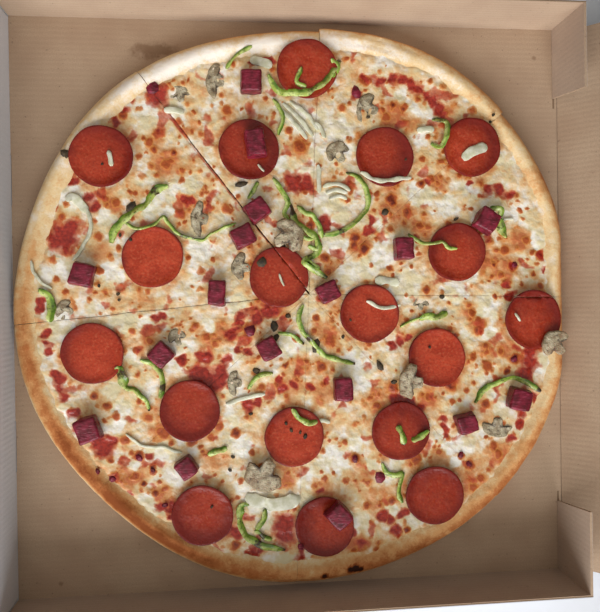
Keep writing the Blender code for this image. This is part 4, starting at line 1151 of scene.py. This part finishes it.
# Width of each strip and the pixels along its middle
PEPPER_STRIPS = (
    (3.9, (268, 75), (278, 91), (299, 96), (314, 91), (325, 83), (340, 61)),
    (4.6, (111, 243), (115, 230), (130, 214), (146, 204), (156, 190), (168, 186)),
    (2.1, (125, 223), (138, 229), (153, 225), (163, 217), (168, 223), (180, 235), (194, 239)),
    (3.9, (290, 204), (296, 221), (308, 231), (317, 240), (317, 253), (303, 262), (317, 272), (327, 278)),
    (3.2, (346, 173), (356, 176), (365, 187), (368, 204), (361, 216), (350, 226), (337, 233), (322, 235)),
    (3.2, (303, 305), (299, 316), (301, 329), (312, 342), (324, 355), (340, 360), (355, 364)),
    (4.6, (39, 290), (48, 295), (52, 308), (50, 322)),
    (3.2, (140, 360), (153, 364), (161, 374), (163, 386), (160, 398)),
    (4.1, (249, 504), (241, 507), (240, 521), (244, 533), (252, 539), (262, 545), (285, 550)),
    (3.4, (265, 509), (264, 519), (256, 529)),
    (3.4, (475, 403), (483, 390), (498, 382), (511, 378), (524, 381), (540, 391)),
    (2.5, (278, 333), (291, 335), (304, 344)),
    (3.4, (292, 408), (298, 417), (308, 422), (317, 421)),
    (3.2, (382, 463), (386, 472), (394, 475), (402, 473), (401, 480), (399, 487), (399, 495), (402, 503)),
    (3.9, (397, 425), (401, 433), (403, 444)),
    (3.9, (411, 440), (419, 436), (428, 430)),
    (3.2, (432, 120), (446, 122), (445, 135), (440, 147), (431, 143)),
    (3.4, (490, 208), (500, 209), (501, 217)),
    (5.3, (496, 218), (501, 228), (506, 238)),
    (2.5, (273, 99), (283, 117), (278, 135)),
    (2.3, (408, 234), (420, 242), (429, 244), (441, 242), (447, 248), (456, 249)),
    (1.6, (400, 327), (408, 322), (420, 318)),
    (2.8, (248, 199), (254, 190), (258, 182)),
    (3.0, (273, 178), (281, 190), (290, 204)),
    (5.8, (118, 366), (122, 377), (126, 388)),
    (2.8, (248, 389), (258, 376), (273, 373)),
    (3.7, (208, 455), (218, 450), (227, 448)),
    (2.3, (226, 69), (236, 56), (252, 48)),
    (2.8, (283, 192), (288, 203), (284, 213), (289, 220)),
    (3.0, (297, 206), (305, 213), (313, 216), (319, 226), (322, 238)),
    (2.3, (292, 226), (300, 235), (309, 239), (317, 236)),
    (2.8, (308, 246), (316, 249), (322, 246)),
    (2.5, (320, 268), (312, 264), (306, 258)),
    (1.8, (194, 239), (203, 240), (212, 233), (224, 228), (236, 223)),
    (2.8, (124, 388), (134, 389), (141, 396), (147, 402), (149, 411)),
    (2.5, (301, 70), (296, 84), (305, 90)),
    (2.8, (330, 62), (337, 70), (331, 80)),
    (2.8, (255, 530), (263, 536), (272, 539)),
    (4.2, (419, 319), (428, 316), (437, 317), (447, 312)),
)
ONION_STRIPS = (
    (2.6, (279, 108), (288, 116), (298, 127), (307, 139)),
    (2.6, (283, 103), (293, 112), (303, 123), (313, 136)),
    (2.4, (290, 101), (300, 109), (310, 118), (318, 130)),
    (2.6, (313, 122), (321, 129), (325, 138)),
    (2.6, (318, 165), (319, 179), (319, 193)),
    (2.4, (323, 187), (333, 184), (344, 186), (350, 191)),
    (2.4, (326, 193), (336, 190), (347, 193)),
    (2.2, (329, 199), (338, 196), (347, 199)),
    (5.0, (66, 200), (73, 197), (80, 203), (86, 212)),
    (1.2, (279, 274), (281, 280), (284, 286)),
    (6.0, (461, 160), (468, 154), (477, 150), (485, 148)),
    (1.6, (258, 165), (261, 169), (264, 172)),
    (1.5, (511, 313), (514, 317), (516, 321)),
    (2.2, (85, 204), (91, 225), (85, 243), (73, 261)),
    (2.6, (226, 404), (245, 398), (265, 394)),
    (8.0, (246, 496), (262, 503), (280, 504), (300, 498)),
    (1.8, (126, 434), (143, 446), (163, 447), (182, 453)),
    (2.2, (366, 301), (382, 308), (400, 305)),
    (2.6, (360, 173), (378, 181), (411, 178)),
    (5.0, (375, 281), (387, 280), (399, 284)),
    (5.0, (250, 60), (260, 62), (272, 66)),
    (2.6, (110, 153), (112, 160), (113, 168)),
    (3.6, (164, 110), (174, 110), (184, 112)),
    (3.4, (417, 131), (425, 129), (434, 130)),
    (2.4, (316, 421), (323, 420), (330, 423)),
    (2.0, (503, 219), (508, 219), (513, 219)),
    (1.8, (32, 261), (34, 272), (43, 283), (52, 289)),
)
# Middle of each crumb as a pixel, length and width
HERB_FLAKES = (
    (69, 155, 6, 3.5), (262, 262, 7, 6), (380, 366, 8, 4), (394, 382, 4, 3), (99, 286, 2.5, 2),
    (118, 294, 2.5, 2), (119, 300, 2, 2), (120, 235, 2.5, 2), (131, 240, 2.5, 2), (343, 337, 2.5, 2),
    (241, 184, 8, 3.5), (368, 117, 3, 2), (316, 346, 9, 5), (230, 470, 3, 2), (270, 472, 3, 2),
    (492, 116, 2.5, 2), (490, 122, 2, 2), (288, 316, 3.5, 3), (274, 326, 7, 5), (276, 338, 5, 4),
    (256, 371, 5, 4), (251, 414, 3, 2), (233, 457, 3, 2), (385, 212, 5, 4), (456, 219, 4, 2),
    (442, 297, 4, 3), (131, 207, 8, 5), (66, 154, 5, 5), (429, 347, 2, 2), (286, 423, 2.5, 2),
    (291, 430, 3, 2), (305, 436, 4, 2.5), (283, 246, 3, 3), (292, 238, 3, 2.5), (104, 166, 2, 1.5),
    (405, 160, 2, 1.5), (350, 320, 2, 1.5), (300, 432, 2.5, 1.5), (212, 505, 2.5, 1.5),
)
RED_BITS = (
    (356, 92, 9, 6), (380, 477, 8, 7), (250, 331, 8, 7), (139, 458, 5, 4), (153, 470, 4, 3),
    (113, 479, 5, 4), (98, 471, 4, 3), (355, 459, 5, 4), (461, 455, 4, 4), (469, 464, 4, 3),
    (514, 359, 5, 4), (515, 265, 4, 4), (165, 505, 4, 3), (153, 88, 9, 8), (300, 545, 5, 4),
)


def edge_of_rim():
    """Distance of the rim's outer edge from the pizza's middle, by angle all the way round."""
    points = sorted((angle_at(point), (point - PIZZA_CENTRE).length)
                    for index in range(1, 9) for point in slice_outline(index)[1])
    (first, near), (last, far) = points[0], points[-1]
    return [(last - 2 * math.pi, far), *points, (first + 2 * math.pi, near)]


def pressed_places():
    """Where each sausage slice lies: its middle, radius and the height of its underside above FOOD_FLOOR."""
    found = []
    for number in range(1, 17):
        centre, base = node_place(f"pepperoni_{number:02d}")
        found.append((centre, SAUSAGE_RADIUS, base - FOOD_FLOOR))
    for number, pixel in CUT_CENTRES.items():
        found.append((on_cheese(pixel), SAUSAGE_RADIUS, node_place(f"pepperoni_{number}_a")[1] - FOOD_FLOOR))
    return found


def small_blisters(count):
    """Blisters between the named ones, more of them in warm cheese and none in its pale pools."""
    draw = random.Random(BLISTER_SEED)
    found = []
    for _ in range(count):
        angle, reach = draw.uniform(0, 2 * math.pi), CHEESE_REACH * math.sqrt(draw.random())
        place = PIZZA_CENTRE + Vector((math.cos(angle), math.sin(angle))) * reach
        radius, depth, chance = draw.uniform(0.9, 2.2), draw.uniform(0.35, 0.8), draw.random()
        warmth = 0.35 + 0.6 * grain(place.x, place.y, 18.0, 9.0) + 0.4 * spot_sum(place, BAKED_PLACES)
        if chance < warmth - 0.8 * spot_sum(place, PALE_PLACES):
            found.append((place.x, place.y, radius, depth))
    return found


def places(spots):
    """Spots of the photograph as middles and radii in millimetres, with what else each one says."""
    scale = (VIEW_POINT.z - FOOD_FLOOR - CHEESE_FIELD) / VIEW_FOCAL
    return [(*on_cheese((x, y)), radius * scale, *more) for x, y, radius, *more in spots]


STAIN_PLACES = [(*from_photo((x, y), BOARD).to_2d(), *rest) for x, y, *rest in STAINS]
SAUCE_PLACES = places(SAUCE_SPOTS)
BAKED_PLACES = places(BAKED_SPOTS)
PALE_PLACES = places(PALE_SPOTS)
CHAR_PLACES = places(CHAR_SPOTS)
RIM_EDGE = edge_of_rim()
PRESSED = pressed_places()
BLISTER_PLACES = places(BLISTERS) + small_blisters(SMALL_BLISTERS)


def dress_box():
    """The tray, back wall and lid keep their solids and take the board's finish, bleached outside."""
    far = 500
    # For each body: where it sits, the boxes that are bleached, the boxes of cut board painted dark as shade
    # in the flutes' hollows, and its stains
    dressed = {
        "tray": (Matrix(), ((("X", -far, -168.45),), (("Y", -far, -179.05),), (("Y", 179.05, far),),
                            (("Z", -9, 0.05),), (("X", 176.95, 177.05), ("Z", 1.9, far)),
                            (("Z", 42.95, 43.1), ("Y", -far, -178.7)),
                            (("Z", 42.95, 43.1), ("Y", 178.7, far))),
                 ((("X", 175.55, 176.85), ("Y", 126, 133.5), ("Z", 0, 42.9)),
                  (("X", 175.55, 176.85), ("Y", -133.5, -126), ("Z", 0, 42.9)),
                  (("Z", 42.95, 43.1), ("Y", -178.7, -177.9), ("X", -169, far)),
                  (("Z", 42.95, 43.1), ("Y", 177.9, 178.7), ("X", -169, far))), STAIN_PLACES),
        "back_wall": (WALL_HOME, ((("X", 0.7, far),),), (), ()),
        "lid": (LID_HOME, ((("Z", 0.7, far),), (("Y", -far, -176.75),), (("Y", 176.75, far),),
                           (("X", -far, -345.45),)),
                ((("Y", 175.35, 176.65), ("Z", -far, -1.0)), (("Y", -176.65, -175.35), ("Z", -far, -1.0)),
                 (("X", -345.35, -344.05), ("Z", -far, -23.7))), ()),
    }
    for name, finish in dressed.items():
        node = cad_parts[name]
        node.data.materials.clear()
        node.data.materials.append(corrugated_board(f"corrugated_{name}", *finish))


def studio():
    """Camera of the photograph, a large low window, a weak light from above, a warm sky and a pale table."""
    eye = bpy.data.cameras.new("camera")
    eye.sensor_width = 36.0
    eye.lens = VIEW_FOCAL / IMAGE_HEIGHT * eye.sensor_width
    seen = bpy.data.objects.new("camera", eye)
    seen.location = VIEW_POINT * MM
    seen.rotation_euler = VIEW_TURN
    bpy.context.scene.collection.objects.link(seen)
    bpy.context.scene.camera = seen

    for name, place, width, height, power, tint in (
            ("window", (-0.25, -1.5, 0.78), 2.0, 1.3, 51.0, (0.97, 0.98, 1.0)),
            ("fill", (-0.1, -0.1, 1.7), 2.2, 2.2, 9.0, (1.0, 0.98, 0.95))):
        light = bpy.data.lights.new(name, "AREA")
        light.shape = "RECTANGLE"
        light.size = width
        light.size_y = height
        light.energy = power
        light.color = tint
        lamp = bpy.data.objects.new(name, light)
        lamp.location = place
        lamp.rotation_euler = (-Vector(place)).to_track_quat("-Z", "Y").to_euler()
        bpy.context.scene.collection.objects.link(lamp)

    sky = bpy.data.worlds.new("sky")
    sky.use_nodes = True
    glow = sky.node_tree.nodes["Background"].inputs
    glow["Color"].default_value = (1.0, 0.94, 0.86, 1.0)
    glow["Strength"].default_value = 0.15
    bpy.context.scene.world = sky
    bpy.context.scene.view_settings.view_transform = "Standard"

    bpy.ops.mesh.primitive_plane_add(size=6.0, location=(0, 0, TABLE_TOP * MM))
    table = bpy.context.object
    table.name = "table"
    table.data.materials.append(mottled("pale_table", "DBDDE1", "DDDFE3", 40.0))


MATERIALS = {
    "dough": baked_dough(),
    "cheese": baked_cheese(),
    "sausage": cured_sausage(),
    "beef": cured_beef(),
    "mushroom": cooked_mushroom(),
    "pepper": green_pepper(),
    "onion": baked_onion(),
    "herb": mottled("dried_herb", "2E2418", "4A3B22", 2.0),
    "paper": flute_paper(),
}
studio()
dress_box()
all_cut_edges()
for index in range(1, 9):
    crust_slice(index, MATERIALS["dough"])
    cheese_slice(index, MATERIALS["cheese"])
all_sausage()
all_cubes()
all_mushrooms()
all_strips()
all_flakes()
